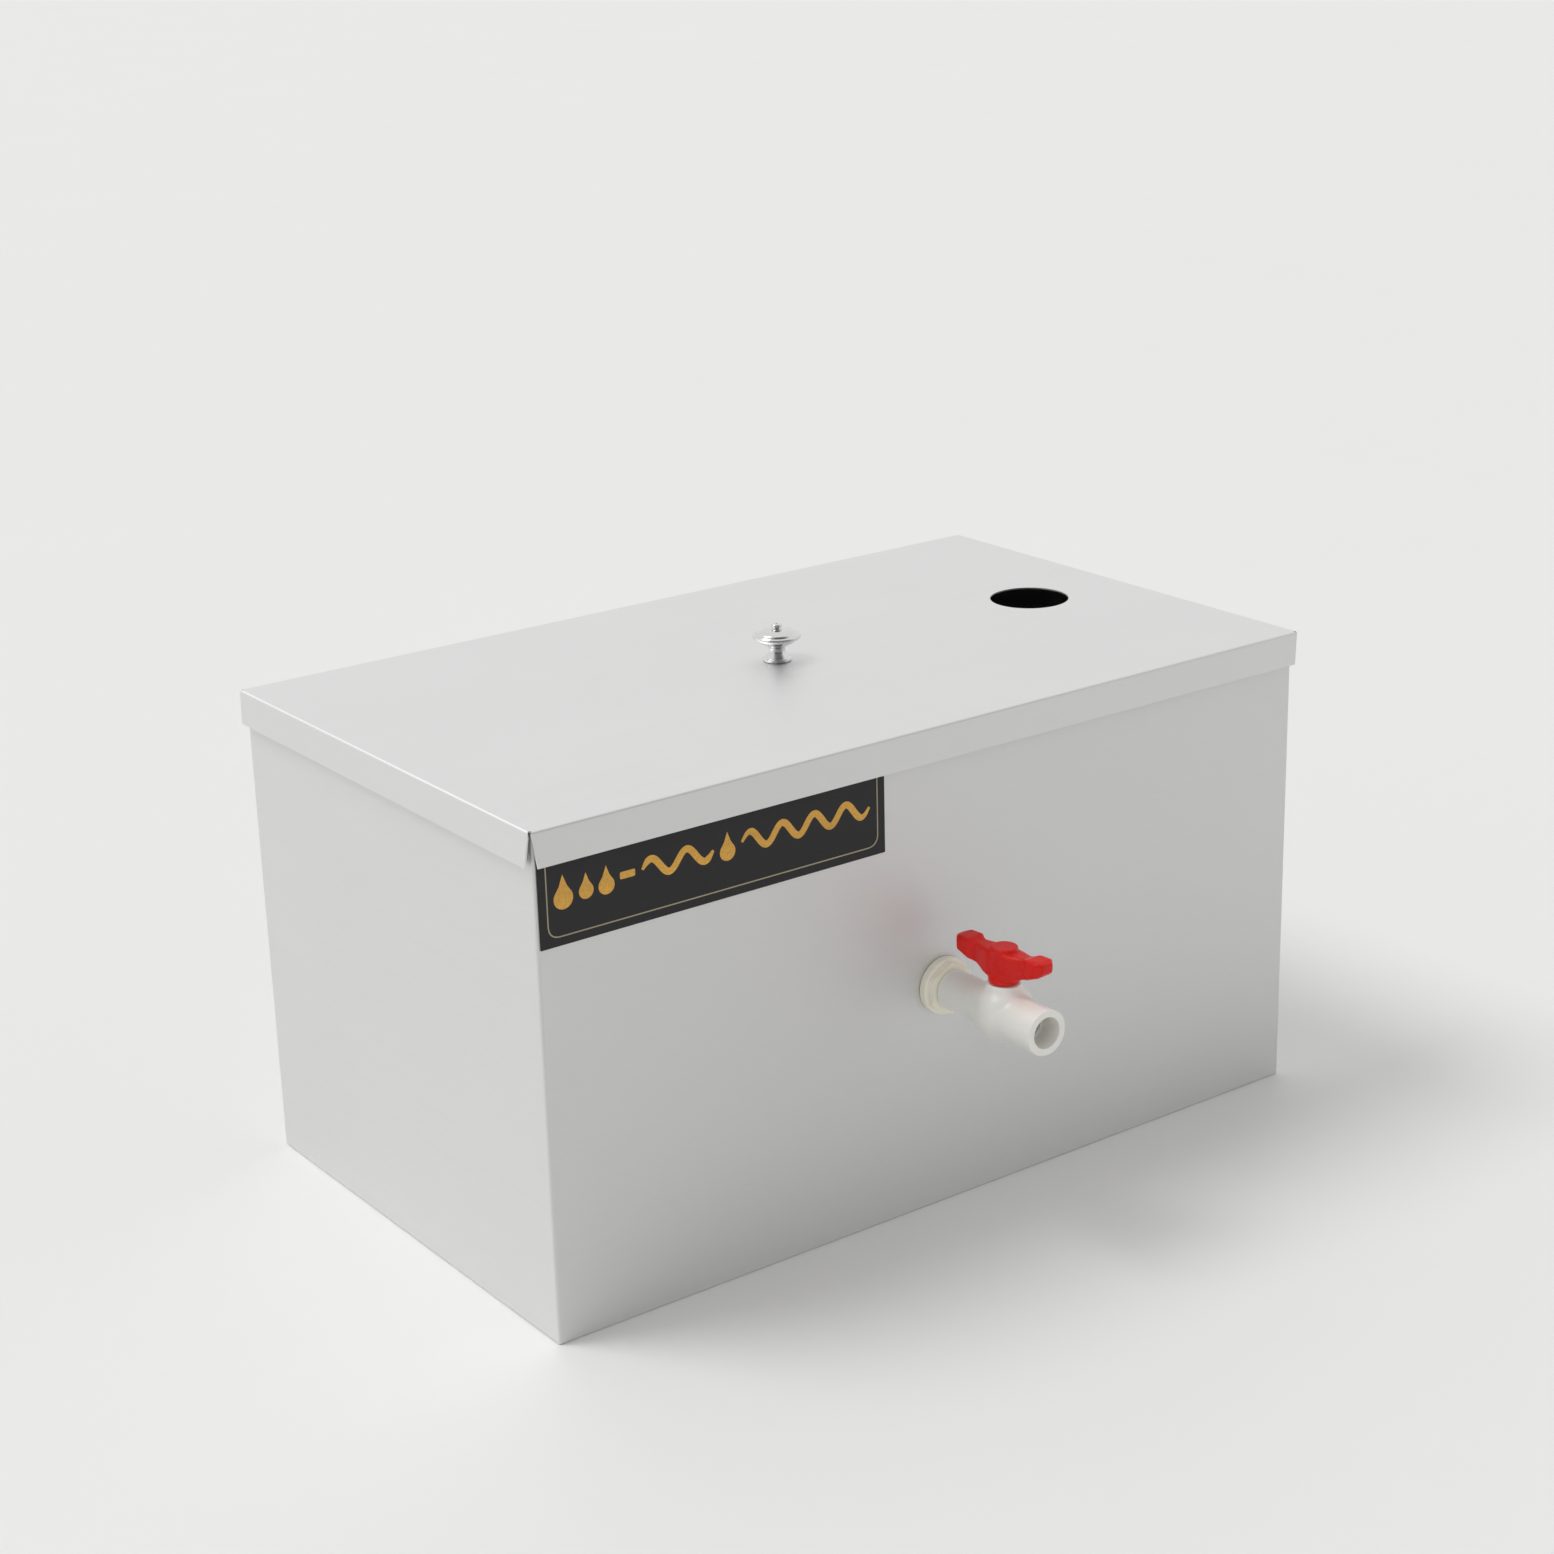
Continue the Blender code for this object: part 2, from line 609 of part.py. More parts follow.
def strainer_basket(material):
    """Rectangular perforated basket that hangs by its rim on the two rails."""
    half_x = BASKET_LENGTH_X / 2
    half_y = BASKET_LENGTH_Y / 2
    floor = BASKET_RIM_UNDERSIDE - BASKET_DROP
    columns_x = round(BASKET_LENGTH_X / BASKET_HOLE_PITCH)
    columns_y = round(BASKET_LENGTH_Y / BASKET_HOLE_PITCH)
    rows = max(1, int(BASKET_DROP / BASKET_WALL_PITCH))
    builder = bmesh.new()
    perforated_panel(
        builder, columns_x, columns_y, 2 * half_x, 2 * half_y, (-half_x, -half_y), lambda u, v: (u, v, floor)
    )
    for side in (-1, 1):
        perforated_panel(
            builder, columns_x, rows, 2 * half_x, BASKET_DROP, (-half_x, floor),
            lambda u, v, side=side: (u, side * half_y, v),
        )
        perforated_panel(
            builder, columns_y, rows, 2 * half_y, BASKET_DROP, (-half_y, floor),
            lambda u, v, side=side: (side * half_x, u, v),
        )
    near = 1e-5
    bmesh.ops.remove_doubles(builder, verts=builder.verts, dist=near)
    top_edges = []
    for edge in builder.edges:
        at_top = all(abs(vert.co.z - BASKET_RIM_UNDERSIDE) < near for vert in edge.verts)
        if edge.is_boundary and at_top:
            top_edges.append(edge)
    pulled = bmesh.ops.extrude_edge_only(builder, edges=top_edges)
    for vert in [item for item in pulled["geom"] if isinstance(item, bmesh.types.BMVert)]:
        if abs(abs(vert.co.x) - half_x) < near:
            vert.co.x += math.copysign(BASKET_RIM_X, vert.co.x)
        if abs(abs(vert.co.y) - half_y) < near:
            vert.co.y += math.copysign(BASKET_RIM_Y, vert.co.y)
    lowest = min(builder.faces, key=lambda face: face.calc_center_median().z)
    face_skin(builder, lowest, (0, 0, -1))
    basket = add_object("strainer_basket", builder, material, (BASKET_X, 0, 0), closed=False)
    thickness = basket.modifiers.new("sheet", "SOLIDIFY")
    thickness.thickness = BASKET_SHEET
    thickness.offset = -1
    thickness.use_even_offset = True


def basket_rail(name, side, material):
    """Angle on the tank wall that carries one long edge of the basket's rim."""
    start_x = BASKET_X - BASKET_LENGTH_X / 2 - BASKET_RIM_X - RAIL_PAST_BASKET
    end_x = RIGHT_X - TANK_SHEET - RAIL_END_GAP
    length = end_x - start_x
    outline = [
        (0.0, 0.0),
        (RAIL_LEG, 0.0),
        (RAIL_LEG, -RAIL_SHEET),
        (RAIL_SHEET, -RAIL_SHEET),
        (RAIL_SHEET, -RAIL_LEG),
        (0.0, -RAIL_LEG),
    ]
    builder = prism([(y, z) for y, z in outline], 0.0, length)
    builder.transform(Matrix(((0, 0, 1, 0), (-side, 0, 0, 0), (0, 1, 0, 0), (0, 0, 0, 1))))
    wall = side * (TANK_DEPTH / 2 - TANK_SHEET - FIT)
    add_object(name, builder, material, (start_x, wall, RAIL_TOP))


def basket_ear(name, side, material):
    """Lug spot-welded under the rim, with the bail's pivot hole above it; side is -1 at the left."""
    bottom = BASKET_RIM_UNDERSIDE - FIT - EAR_SHEET
    top = BAIL_AXIS_Z + BAIL_WIRE_RADIUS + EAR_RIM
    outline = [
        (0.0, bottom),
        (EAR_SHEET, bottom),
        (EAR_SHEET, top),
        (0.0, top),
        (0.0, bottom + EAR_SHEET),
        (-EAR_FOOT, bottom + EAR_SHEET),
        (-EAR_FOOT, bottom),
    ]
    builder = prism([(side * x, z) for x, z in outline], -EAR_WIDTH / 2, EAR_WIDTH / 2)
    builder.transform(Matrix(((1, 0, 0, 0), (0, 0, 1, 0), (0, 1, 0, 0), (0, 0, 0, 1))))
    place = BASKET_X + side * (BASKET_LENGTH_X / 2 + BASKET_RIM_X + FIT)
    ear = add_object(name, builder, material, (place, 0, 0))
    hole = rod(BAIL_WIRE_RADIUS + BORE_FIT, -5 * EAR_SHEET, 5 * EAR_SHEET, 12)
    cutter = add_object(f"cut_{name}", hole, None, (place, 0, BAIL_AXIS_Z), (0, math.radians(90), 0))
    boolean(ear, cutter, "DIFFERENCE")


def wire(points, radius, sides):
    """A round wire swept through points, with a flat cap at each end."""
    rings = []
    path = [Vector(point) for point in points]
    for index, point in enumerate(path):
        before = path[index - 1] if index else 2 * point - path[1]
        after = path[index + 1] if index + 1 < len(path) else 2 * point - path[-2]
        incoming = (point - before).normalized()
        ahead = (incoming + (after - point).normalized()).normalized()
        across = ahead.cross(Vector((0, 0, 1))).normalized()
        up = across.cross(ahead)
        stretch = 1 / incoming.dot(ahead)
        ring = []
        for side in range(sides):
            angle = math.tau * side / sides
            ring.append(point + radius * (math.cos(angle) * stretch * across + math.sin(angle) * up))
        rings.append(ring)
    builder = bmesh.new()
    skin(builder, rings)
    return builder


def basket_bail(material):
    """Wire bail hooked into the two ears, folded down on the rim."""
    lug = BASKET_LENGTH_X / 2 + BASKET_RIM_X + FIT
    hook = lug + EAR_SHEET + BAIL_HOOK_END
    arm_x = lug - FIT - BAIL_WIRE_RADIUS
    half = [(hook, 0.0), (arm_x, 0.0)]
    half += arc((arm_x - BAIL_BEND, BAIL_ARM - BAIL_BEND), BAIL_BEND, 0, 90, 5)
    mirrored = [(-x, y) for x, y in reversed(half)]
    points = [(x, y, 0.0) for x, y in half + mirrored]
    axis = add_axis("bail_axis", (BASKET_X, 0, BAIL_AXIS_Z))
    bent = wire(points, BAIL_WIRE_RADIUS, WIRE_SIDES)
    add_object("basket_bail", bent, material, parent=axis, sharp=50)


def front_piece(name, builder, material, sharp=35):
    """Places a body built about Z so that its height points out of the front wall at the valve."""
    return add_object(
        name, builder, material, (VALVE_X, FRONT_Y, VALVE_Z), (math.radians(90), 0, 0), sharp=sharp
    )


def rear_piece(name, builder, material, sharp=35):
    """Places a body built about Z so that its height points out of the rear wall at the outlet."""
    return add_object(
        name, builder, material, (OUTLET_X, REAR_Y, OUTLET_Z), (math.radians(-90), 0, 0), sharp=sharp
    )


def hexagon_nut(across_flats, hole, bottom, top, chamfer):
    """Hexagon nut with chamfered corners on both faces."""
    corner = across_flats / 2 / math.cos(math.radians(30))
    sides = 24
    rings = []
    for limit, z in (
        (across_flats / 2 + chamfer / 2, bottom),
        (corner, bottom + chamfer),
        (corner, top - chamfer),
        (across_flats / 2 + chamfer / 2, top),
    ):
        ring = []
        for index in range(sides):
            angle = math.tau * index / sides
            within = (angle + math.radians(30)) % math.radians(60) - math.radians(30)
            flat = across_flats / 2 / math.cos(within)
            reach = min(flat, limit)
            ring.append((reach * math.cos(angle), reach * math.sin(angle), z))
        rings.append(ring)
    for z in (top, bottom):
        angles = [math.tau * index / sides for index in range(sides)]
        rings.append([(hole * math.cos(a), hole * math.sin(a), z) for a in angles])
    builder = bmesh.new()
    skin(builder, rings, loop=True)
    return builder


def valve_mounting(cream, rubber):
    """Bulkhead fitting with a disc and a hexagon outside the front wall, its gasket and its locknut."""
    thread = VALVE_THREAD_DIAMETER / 2
    gasket = tube(VALVE_GASKET_DIAMETER / 2, thread + BORE_FIT, FIT, FIT + VALVE_GASKET_THICKNESS)
    front_piece("valve_gasket", gasket, rubber)
    outer = VALVE_FLANGE_DIAMETER / 2
    inner = NIPPLE_BORE / 2
    nipple = VALVE_SOCKET_DIAMETER / 2 - BORE_FIT
    nipple_end = VALVE_BODY_START + VALVE_SOCKET_DEPTH - SLIDE_FIT
    inside = -TANK_SHEET - VALVE_THREAD_INSIDE
    edge = MOULDED_EDGE
    profile = [(inner, inside), (thread, inside), (thread, VALVE_FLANGE_BACK)]
    profile += [(outer - edge / 2, VALVE_FLANGE_BACK), (outer, VALVE_FLANGE_BACK + edge / 2)]
    profile += arc((outer - edge, VALVE_DISC_FRONT - edge), edge, 0, 90, 2)
    profile += [(nipple, VALVE_DISC_FRONT), (nipple, nipple_end), (inner, nipple_end)]
    flange = front_piece("valve_flange", turned(profile, ROUND_SIDES), cream)
    hexagon_back = VALVE_FLANGE_BACK + VALVE_DISC_THICKNESS / 2
    hexagon = hexagon_nut(
        VALVE_HEX_ACROSS_FLATS, (inner + nipple) / 2, hexagon_back, VALVE_FLANGE_FRONT, edge
    )
    boolean(flange, front_piece("join_flange_hexagon", hexagon, None), "UNION")
    nut_top = -TANK_SHEET - FIT
    nut_bottom = nut_top - VALVE_NUT_THICKNESS
    nut = hexagon_nut(VALVE_NUT_ACROSS_FLATS, thread + BORE_FIT, nut_bottom, nut_top, VALVE_NUT_CHAMFER)
    front_piece("valve_locknut", nut, cream)


def bulge_radius(offset):
    """Outer radius of the valve body at a distance from the stem axis, with a narrower wall side."""
    share = (offset + VALVE_STEP_START) / (VALVE_STEP_START - VALVE_STEP_END)
    share = min(1.0, max(0.0, share))
    share *= share * (3 - 2 * share)
    radius = (VALVE_INNER_TUBE_DIAMETER + (VALVE_TUBE_DIAMETER - VALVE_INNER_TUBE_DIAMETER) * share) / 2
    if abs(offset) < VALVE_BULGE_HALF_LENGTH:
        radius += VALVE_BULGE * (0.5 + 0.5 * math.cos(math.pi * offset / VALVE_BULGE_HALF_LENGTH))
    return radius


def valve_body(material):
    """Moulded body: a bulged tube with a flared neck, socketed at both ends around the ball chamber."""
    start = VALVE_BODY_START
    end = VALVE_REACH
    edge = MOULDED_EDGE
    profile = [(bulge_radius(start - STEM_REACH) - edge, start)]
    stations = [start + edge]
    steps = 12
    swell =VALVE_STEP_START + VALVE_BULGE_HALF_LENGTH
    stations += [STEM_REACH - VALVE_STEP_START + swell * index / steps for index in range(steps + 1)]
    stations += [end - edge]
    profile += [(bulge_radius(station - STEM_REACH), station) for station in stations]
    profile += [(bulge_radius(end - STEM_REACH) - edge, end)]
    body = front_piece("valve_body", turned(profile, TUBE_SIDES, loop=False), material, sharp=45)
    foot = VALVE_TUBE_DIAMETER / 4
    flare_z = VALVE_TUBE_DIAMETER / 2 - NECK_FLARE_DROP
    rise = NECK_HEIGHT - 2 * edge - flare_z
    neck_profile = [(NECK_RADIUS + NECK_FLARE, foot)]
    flare_steps = 4
    for angle in [math.radians(90 * index / flare_steps) for index in range(flare_steps + 1)]:
        radius = NECK_RADIUS + NECK_FLARE * (1 - math.sin(angle))
        neck_profile.append((radius, flare_z + rise * (1 - math.cos(angle))))
    neck_profile += [(NECK_RADIUS, NECK_HEIGHT - edge), (NECK_RADIUS - edge, NECK_HEIGHT)]
    stem_place = (VALVE_X, FRONT_Y - STEM_REACH, VALVE_Z)
    neck = add_object("join_neck", turned(neck_profile, ROUND_SIDES, loop=False), None, stem_place)
    boolean(body, neck, "UNION")
    socket = VALVE_SOCKET_DIAMETER / 2
    bore = VALVE_BORE / 2
    chamber = SEAT_OUTER_DIAMETER / 2 + BORE_FIT
    chamber_half = SEAT_BACK + FIT
    cavity = [
        (socket, start - CUT_PAST),
        (socket, start + VALVE_SOCKET_DEPTH),
        (bore, start + VALVE_SOCKET_DEPTH),
        (bore, STEM_REACH - chamber_half),
        (chamber, STEM_REACH - chamber_half),
        (chamber, STEM_REACH + chamber_half),
        (bore, STEM_REACH + chamber_half),
        (bore, end - VALVE_SOCKET_DEPTH),
        (socket, end - VALVE_SOCKET_DEPTH),
        (socket, end + CUT_PAST),
    ]
    boolean(body, front_piece("cut_valve_bore", turned(cavity, ROUND_SIDES, loop=False), None), "DIFFERENCE")
    stem_hole = rod(STEM_DIAMETER / 2 + BORE_FIT, 0.0, NECK_HEIGHT + CUT_PAST, SMALL_SIDES)
    boolean(body, add_object("cut_stem_hole", stem_hole, None, stem_place), "DIFFERENCE")


def valve_seat(name, direction, material):
    """Seat ring with a spherical face towards the ball; direction is 1 at the outlet side."""
    cup = BALL_DIAMETER / 2 + FIT
    inner = VALVE_BORE / 2 + BORE_FIT
    outer = SEAT_OUTER_DIAMETER / 2
    first = math.asin(SEAT_FRONT / cup)
    last = math.acos(inner / cup)
    steps = 4
    angles = [first + (last - first) * index / steps for index in range(steps + 1)]
    profile = [(outer, SEAT_BACK), (outer, SEAT_FRONT)]
    profile += [(cup * math.cos(a), cup * math.sin(a)) for a in angles]
    profile += [(inner, SEAT_BACK)]
    placed = [(r, STEM_REACH + direction * z) for r, z in profile]
    front_piece(name, turned(placed, ROUND_SIDES), material)


def valve_ball(material, axis):
    """Ball with a through bore along Y and the stem's slot on top."""
    radius = BALL_DIAMETER / 2
    bore = VALVE_BORE / 2
    last = math.acos(bore / radius)
    steps = 8
    angles = [-last + 2 * last * index / steps for index in range(steps + 1)]
    profile = [(radius * math.cos(a), radius * math.sin(a)) for a in angles]
    builder = turned(profile, ROUND_SIDES)
    builder.transform(Matrix.Rotation(math.radians(90), 4, "X"))
    ball = add_object("valve_ball", builder, material, parent=axis, sharp=50)
    slot = block((BALL_DIAMETER, SLOT_WIDTH, 2 * SLOT_DEPTH), (0, 0, radius))
    boolean(ball, add_object("cut_ball_slot", slot, None, parent=axis), "DIFFERENCE")


def valve_stem(material, rubber, axis):
    """Stem with a tongue for the ball, an O-ring groove and a square for the handle."""
    ball_top = BALL_DIAMETER / 2
    shank = STEM_DIAMETER / 2
    bottom = ball_top + FIT
    top = NECK_HEIGHT + FIT
    ring_z = NECK_HEIGHT - O_RING_BELOW_NECK
    groove = shank - O_RING_SECTION - FIT
    half_groove = O_RING_SECTION / 2 + FIT
    profile = [
        (shank, bottom),
        (shank, ring_z - half_groove),
        (groove, ring_z - half_groove),
        (groove, ring_z + half_groove),
        (shank, ring_z + half_groove),
        (shank, top),
    ]
    stem = add_object("valve_stem", turned(profile, SMALL_SIDES, loop=False), material, parent=axis)
    tongue_bottom = ball_top - SLOT_DEPTH + FIT
    tongue_height = bottom + STEM_OVERLAP - tongue_bottom
    tongue_length = 2 * (shank - STEM_TONGUE_INSET)
    tongue = block(
        (tongue_length, SLOT_WIDTH - 2 * FIT, tongue_height), (0, 0, tongue_bottom + tongue_height / 2)
    )
    boolean(stem, add_object("join_stem_tongue", tongue, None, parent=axis), "UNION")
    square_height = STEM_SQUARE_HEIGHT + STEM_OVERLAP
    square_centre = (0, 0, top - STEM_OVERLAP + square_height / 2)
    square = block((STEM_SQUARE, STEM_SQUARE, square_height), square_centre)
    boolean(stem, add_object("join_stem_square", square, None, parent=axis), "UNION")
    section = O_RING_SECTION / 2
    sides = 6
    ring_profile = arc((shank - section, ring_z), section, 0, 360 - 360 / sides, sides - 1)
    add_object("valve_stem_o_ring", turned(ring_profile, SMALL_SIDES), rubber, parent=axis)


def wing_section(reach, width, bottom, top):
    """Chamfered rectangle across a wing that stands out along -Y."""
    half = width / 2
    cut = WING_CHAMFER
    outline = [
        (half, top - cut),
        (half - cut, top),
        (-half + cut, top),
        (-half, top - cut),
        (-half, bottom + cut),
        (-half + cut, bottom),
        (half - cut, bottom),
        (half, bottom + cut),
    ]
    return [(x, -reach, z) for x, z in outline]


def valve_handle(material, axis):
    """Handle with a round hub and two wings: narrow webs that rise to wide end pads."""
    base = NECK_HEIGHT + 2 * FIT
    top = base + HANDLE_HEIGHT
    edge = HANDLE_EDGE
    hub_profile = [
        (HANDLE_BASE_RADIUS - edge / 2, base),
        (HANDLE_BASE_RADIUS, base + edge / 2),
        (HANDLE_BASE_RADIUS, base + HANDLE_BASE_HEIGHT),
        (HANDLE_WAIST_RADIUS, base + HANDLE_BASE_HEIGHT + 2 * edge),
        (HANDLE_WAIST_RADIUS, top - HANDLE_BASE_HEIGHT - 2 * edge),
        (HANDLE_TOP_RADIUS, top - HANDLE_BASE_HEIGHT),
    ]
    hub_profile += arc((HANDLE_TOP_RADIUS - edge, top - edge), edge, 0, 90, 2)
    hub = turned(hub_profile, ROUND_SIDES, loop=False)
    handle = add_object("valve_handle", hub, material, parent=axis, sharp=40)
    wing_top = top - WING_TOP_DROP
    root_bottom = base + WING_ROOT_LIFT
    slope = (wing_top - WING_PAD_THICKNESS - root_bottom) / (WING_REACH - HANDLE_BASE_RADIUS)
    stations = (
        (WING_ROOT_REACH, WING_ROOT_WIDTH, 0.0),
        (HANDLE_BASE_RADIUS, WING_SHOULDER_WIDTH, 0.0),
        (WING_WEB_END, WING_WEB_WIDTH, 0.0),
        (WING_PAD_START, WING_PAD_WIDTH, 0.0),
        (WING_REACH - WING_TIP_CUT, WING_PAD_WIDTH, 0.0),
        (WING_REACH, WING_PAD_WIDTH - 2 * WING_TIP_CUT, WING_TIP_CUT / 2),
    )
    for index in range(2):
        sections = []
        for reach, width, inset in stations:
            bottom = root_bottom + slope * max(0.0, reach - HANDLE_BASE_RADIUS)
            sections.append(wing_section(reach, width, bottom + inset, wing_top - inset))
        builder = bmesh.new()
        skin(builder, sections)
        turn = (0, 0, math.radians(180 * index))
        wing = add_object(f"join_wing_{index}", builder, None, turn=turn, parent=axis)
        boolean(handle, wing, "UNION")
    socket = STEM_SQUARE + 2 * BORE_FIT
    depth = STEM_SQUARE_HEIGHT + FIT
    pocket = block((socket, socket, depth + CUT_PAST), (0, 0, base + (depth - CUT_PAST) / 2))
    boolean(handle, add_object("cut_handle_socket", pocket, None, parent=axis), "DIFFERENCE")


def outlet_mounting(grey, rubber):
    """Outlet fitting through the rear wall with its gasket and lugged locknut."""
    thread = OUTLET_THREAD_DIAMETER / 2
    gasket = tube(OUTLET_GASKET_DIAMETER / 2, thread + BORE_FIT, FIT, FIT + OUTLET_GASKET_THICKNESS)
    rear_piece("outlet_gasket", gasket, rubber)
    pipe = PIPE_DIAMETER / 2
    bore = pipe - PIPE_WALL
    flange = OUTLET_FLANGE_DIAMETER / 2
    inside = -TANK_SHEET - OUTLET_THREAD_INSIDE
    edge = MOULDED_EDGE
    profile = [
        (bore, inside - OUTLET_INNER_SPIGOT),
        (pipe, inside - OUTLET_INNER_SPIGOT),
        (pipe, inside),
        (thread, inside),
        (thread, OUTLET_FLANGE_BACK),
        (flange, OUTLET_FLANGE_BACK),
        (flange, OUTLET_FLANGE_FRONT - edge),
        (flange - edge, OUTLET_FLANGE_FRONT),
        (pipe + 2 * edge, OUTLET_FLANGE_FRONT),
        (pipe, OUTLET_FLANGE_FRONT + 2 * edge),
        (pipe, OUTLET_FLANGE_FRONT + OUTLET_SPIGOT - edge),
        (pipe - edge, OUTLET_FLANGE_FRONT + OUTLET_SPIGOT),
        (bore, OUTLET_FLANGE_FRONT + OUTLET_SPIGOT),
    ]
    rear_piece("outlet_fitting", turned(profile, TUBE_SIDES), grey)
    nut_top = -TANK_SHEET - FIT
    rings = []
    lug_steps = 6
    steps = lug_steps * OUTLET_NUT_LUGS
    nut_bottom = nut_top - OUTLET_NUT_THICKNESS
    for z, outer in ((nut_bottom, True), (nut_top, True), (nut_top, False), (nut_bottom, False)):
        ring = []
        for index in range(steps):
            angle = math.tau * index / steps
            radius = thread + BORE_FIT
            if outer:
                between_lugs = index % lug_steps < lug_steps / 2
                radius = OUTLET_NUT_DIAMETER / 2 - (OUTLET_NUT_LUG if between_lugs else 0.0)
            ring.append((radius * math.cos(angle), radius * math.sin(angle), z))
        rings.append(ring)
    builder = bmesh.new()
    skin(builder, rings, loop=True)
    rear_piece("outlet_locknut", builder, grey)


def swept_pipe(stations, sides):
    """A pipe through stations of (point, direction, outer radius, inner radius) that lie in the YZ plane."""
    outer_rings = []
    inner_rings = []
    across = Vector((1, 0, 0))
    for point, ahead, outer, inner in stations:
        up = across.cross(Vector(ahead)).normalized()
        for radius, rings in ((outer, outer_rings), (inner, inner_rings)):
            ring = []
            for index in range(sides):
                angle = math.tau * index / sides
                ring.append(Vector(point) + radius * (math.cos(angle) * across + math.sin(angle) * up))
            rings.append(ring)
    builder = bmesh.new()
    skin(builder, outer_rings + list(reversed(inner_rings)), loop=True)
    return builder


def outlet_elbow(grey):
    """Quarter bend with a socket at each end, over the fitting's inner spigot and the drop pipe."""
    pipe = PIPE_DIAMETER / 2
    socket = pipe + BORE_FIT
    outer = socket + ELBOW_WALL
    bore = pipe - PIPE_WALL
    start = REAR_Y - TANK_SHEET - OUTLET_THREAD_INSIDE - FIT
    shoulder = start - OUTLET_INNER_SPIGOT - FIT
    stations = [
        ((OUTLET_X, start, OUTLET_Z), (0, -1, 0), outer, socket),
        ((OUTLET_X, shoulder, OUTLET_Z), (0, -1, 0), outer, socket),
        ((OUTLET_X, shoulder - FIT, OUTLET_Z), (0, -1, 0), outer, bore),
    ]
    centre_y = shoulder - FIT - ELBOW_STRAIGHT
    centre_z = OUTLET_Z - ELBOW_BEND
    steps = 6
    for angle in [math.radians(90 + 90 * index / steps) for index in range(steps + 1)]:
        point = (OUTLET_X, centre_y + ELBOW_BEND * math.cos(angle), centre_z + ELBOW_BEND * math.sin(angle))
        stations.append((point, (0, -math.sin(angle), math.cos(angle)), outer, bore))
    drop_y = centre_y - ELBOW_BEND
    low = centre_z - ELBOW_STRAIGHT
    stations += [
        ((OUTLET_X, drop_y, low), (0, 0, -1), outer, bore),
        ((OUTLET_X, drop_y, low - FIT), (0, 0, -1), outer, socket),
        ((OUTLET_X, drop_y, low - FIT - ELBOW_SOCKET), (0, 0, -1), outer, socket),
    ]
    add_object("outlet_elbow", swept_pipe(stations, ROUND_SIDES), grey)
    pipe_top = low - 2 * FIT
    drop = tube(pipe, bore, DROP_PIPE_BOTTOM, pipe_top)
    add_object("outlet_drop_pipe", drop, grey, (OUTLET_X, drop_y, 0))


def main():
    clear_scene()
    steel = stainless()
    white = white_plastic()
    cream = cream_plastic()
    grey = grey_plastic()
    rubber = silicone_rubber()
    seat = seat_plastic()

    tank_shell(steel)
    lid(steel)
    lid_knob(chrome())
    lid_knob_screw(steel)
    label_plate(label_film())

    for name, x in (("inlet", BAFFLE_INLET_X), ("outlet", BAFFLE_OUTLET_X)):
        baffle(f"baffle_{name}", x, steel)
        baffle_guide(f"baffle_guide_{name}_front", x, -1, steel)
        baffle_guide(f"baffle_guide_{name}_rear", x, 1, steel)

    strainer_basket(steel)
    basket_rail("basket_rail_front", -1, steel)
    basket_rail("basket_rail_rear", 1, steel)
    basket_ear("basket_ear_left", -1, steel)
    basket_ear("basket_ear_right", 1, steel)
    basket_bail(steel)

    valve_mounting(cream, rubber)
    valve_body(white)
    valve_seat("valve_seat_inner", -1, seat)
    valve_seat("valve_seat_outer", 1, seat)
    stem_place = (VALVE_X, FRONT_Y - STEM_REACH, VALVE_Z)
    axis = add_axis("valve_axis", stem_place, (0, 0, HANDLE_REST_TURN))
    valve_ball(white, axis)
    valve_stem(white, rubber, axis)
    valve_handle(red_plastic(), axis)

    outlet_mounting(grey, rubber)
    outlet_elbow(grey)


main()
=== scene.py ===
"""Looks of an under-sink grease trap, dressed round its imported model.

Units are metres in the model's own frame: +Z is up, the front wall with the drain valve faces -Y, and the
origin is the middle of the tank's underside.
"""

from __future__ import annotations

import logging
import math
from dataclasses import dataclass
from enum import Enum, IntEnum
from typing import Callable, Iterable, Sequence

import bmesh
import bpy
from mathutils import Matrix, Vector


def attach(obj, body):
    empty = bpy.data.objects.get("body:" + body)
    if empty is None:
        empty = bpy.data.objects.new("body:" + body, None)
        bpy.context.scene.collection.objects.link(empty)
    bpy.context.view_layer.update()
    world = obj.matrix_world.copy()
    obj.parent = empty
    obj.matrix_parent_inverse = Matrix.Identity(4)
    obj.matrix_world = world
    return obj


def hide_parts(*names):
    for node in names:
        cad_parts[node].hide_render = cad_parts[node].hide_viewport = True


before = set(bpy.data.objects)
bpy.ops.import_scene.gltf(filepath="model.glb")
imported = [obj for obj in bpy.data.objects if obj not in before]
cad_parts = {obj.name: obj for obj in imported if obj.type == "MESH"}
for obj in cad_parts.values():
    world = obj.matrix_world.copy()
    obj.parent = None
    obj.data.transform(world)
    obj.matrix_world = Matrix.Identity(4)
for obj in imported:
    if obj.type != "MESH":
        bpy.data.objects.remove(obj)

LOG = logging.getLogger("grease_trap")

Pair = tuple[float, float]
Corner = tuple[float, float, float]
Colour = tuple[float, float, float]
Ring = list[Vector]
Station = tuple[Vector, Vector, float]
Builder = bmesh.types.BMesh
Socket = bpy.types.NodeSocket

# Sizes that several pieces share
FIT = 0.0003
SHEET = 0.0010
TANK_LENGTH = 0.600
TANK_DEPTH = 0.350
VALVE_X = -0.005
VALVE_Z = 0.152
OUTLET_X = -0.225
OUTLET_Z = 0.215
SCREW_HOLE = 0.0023


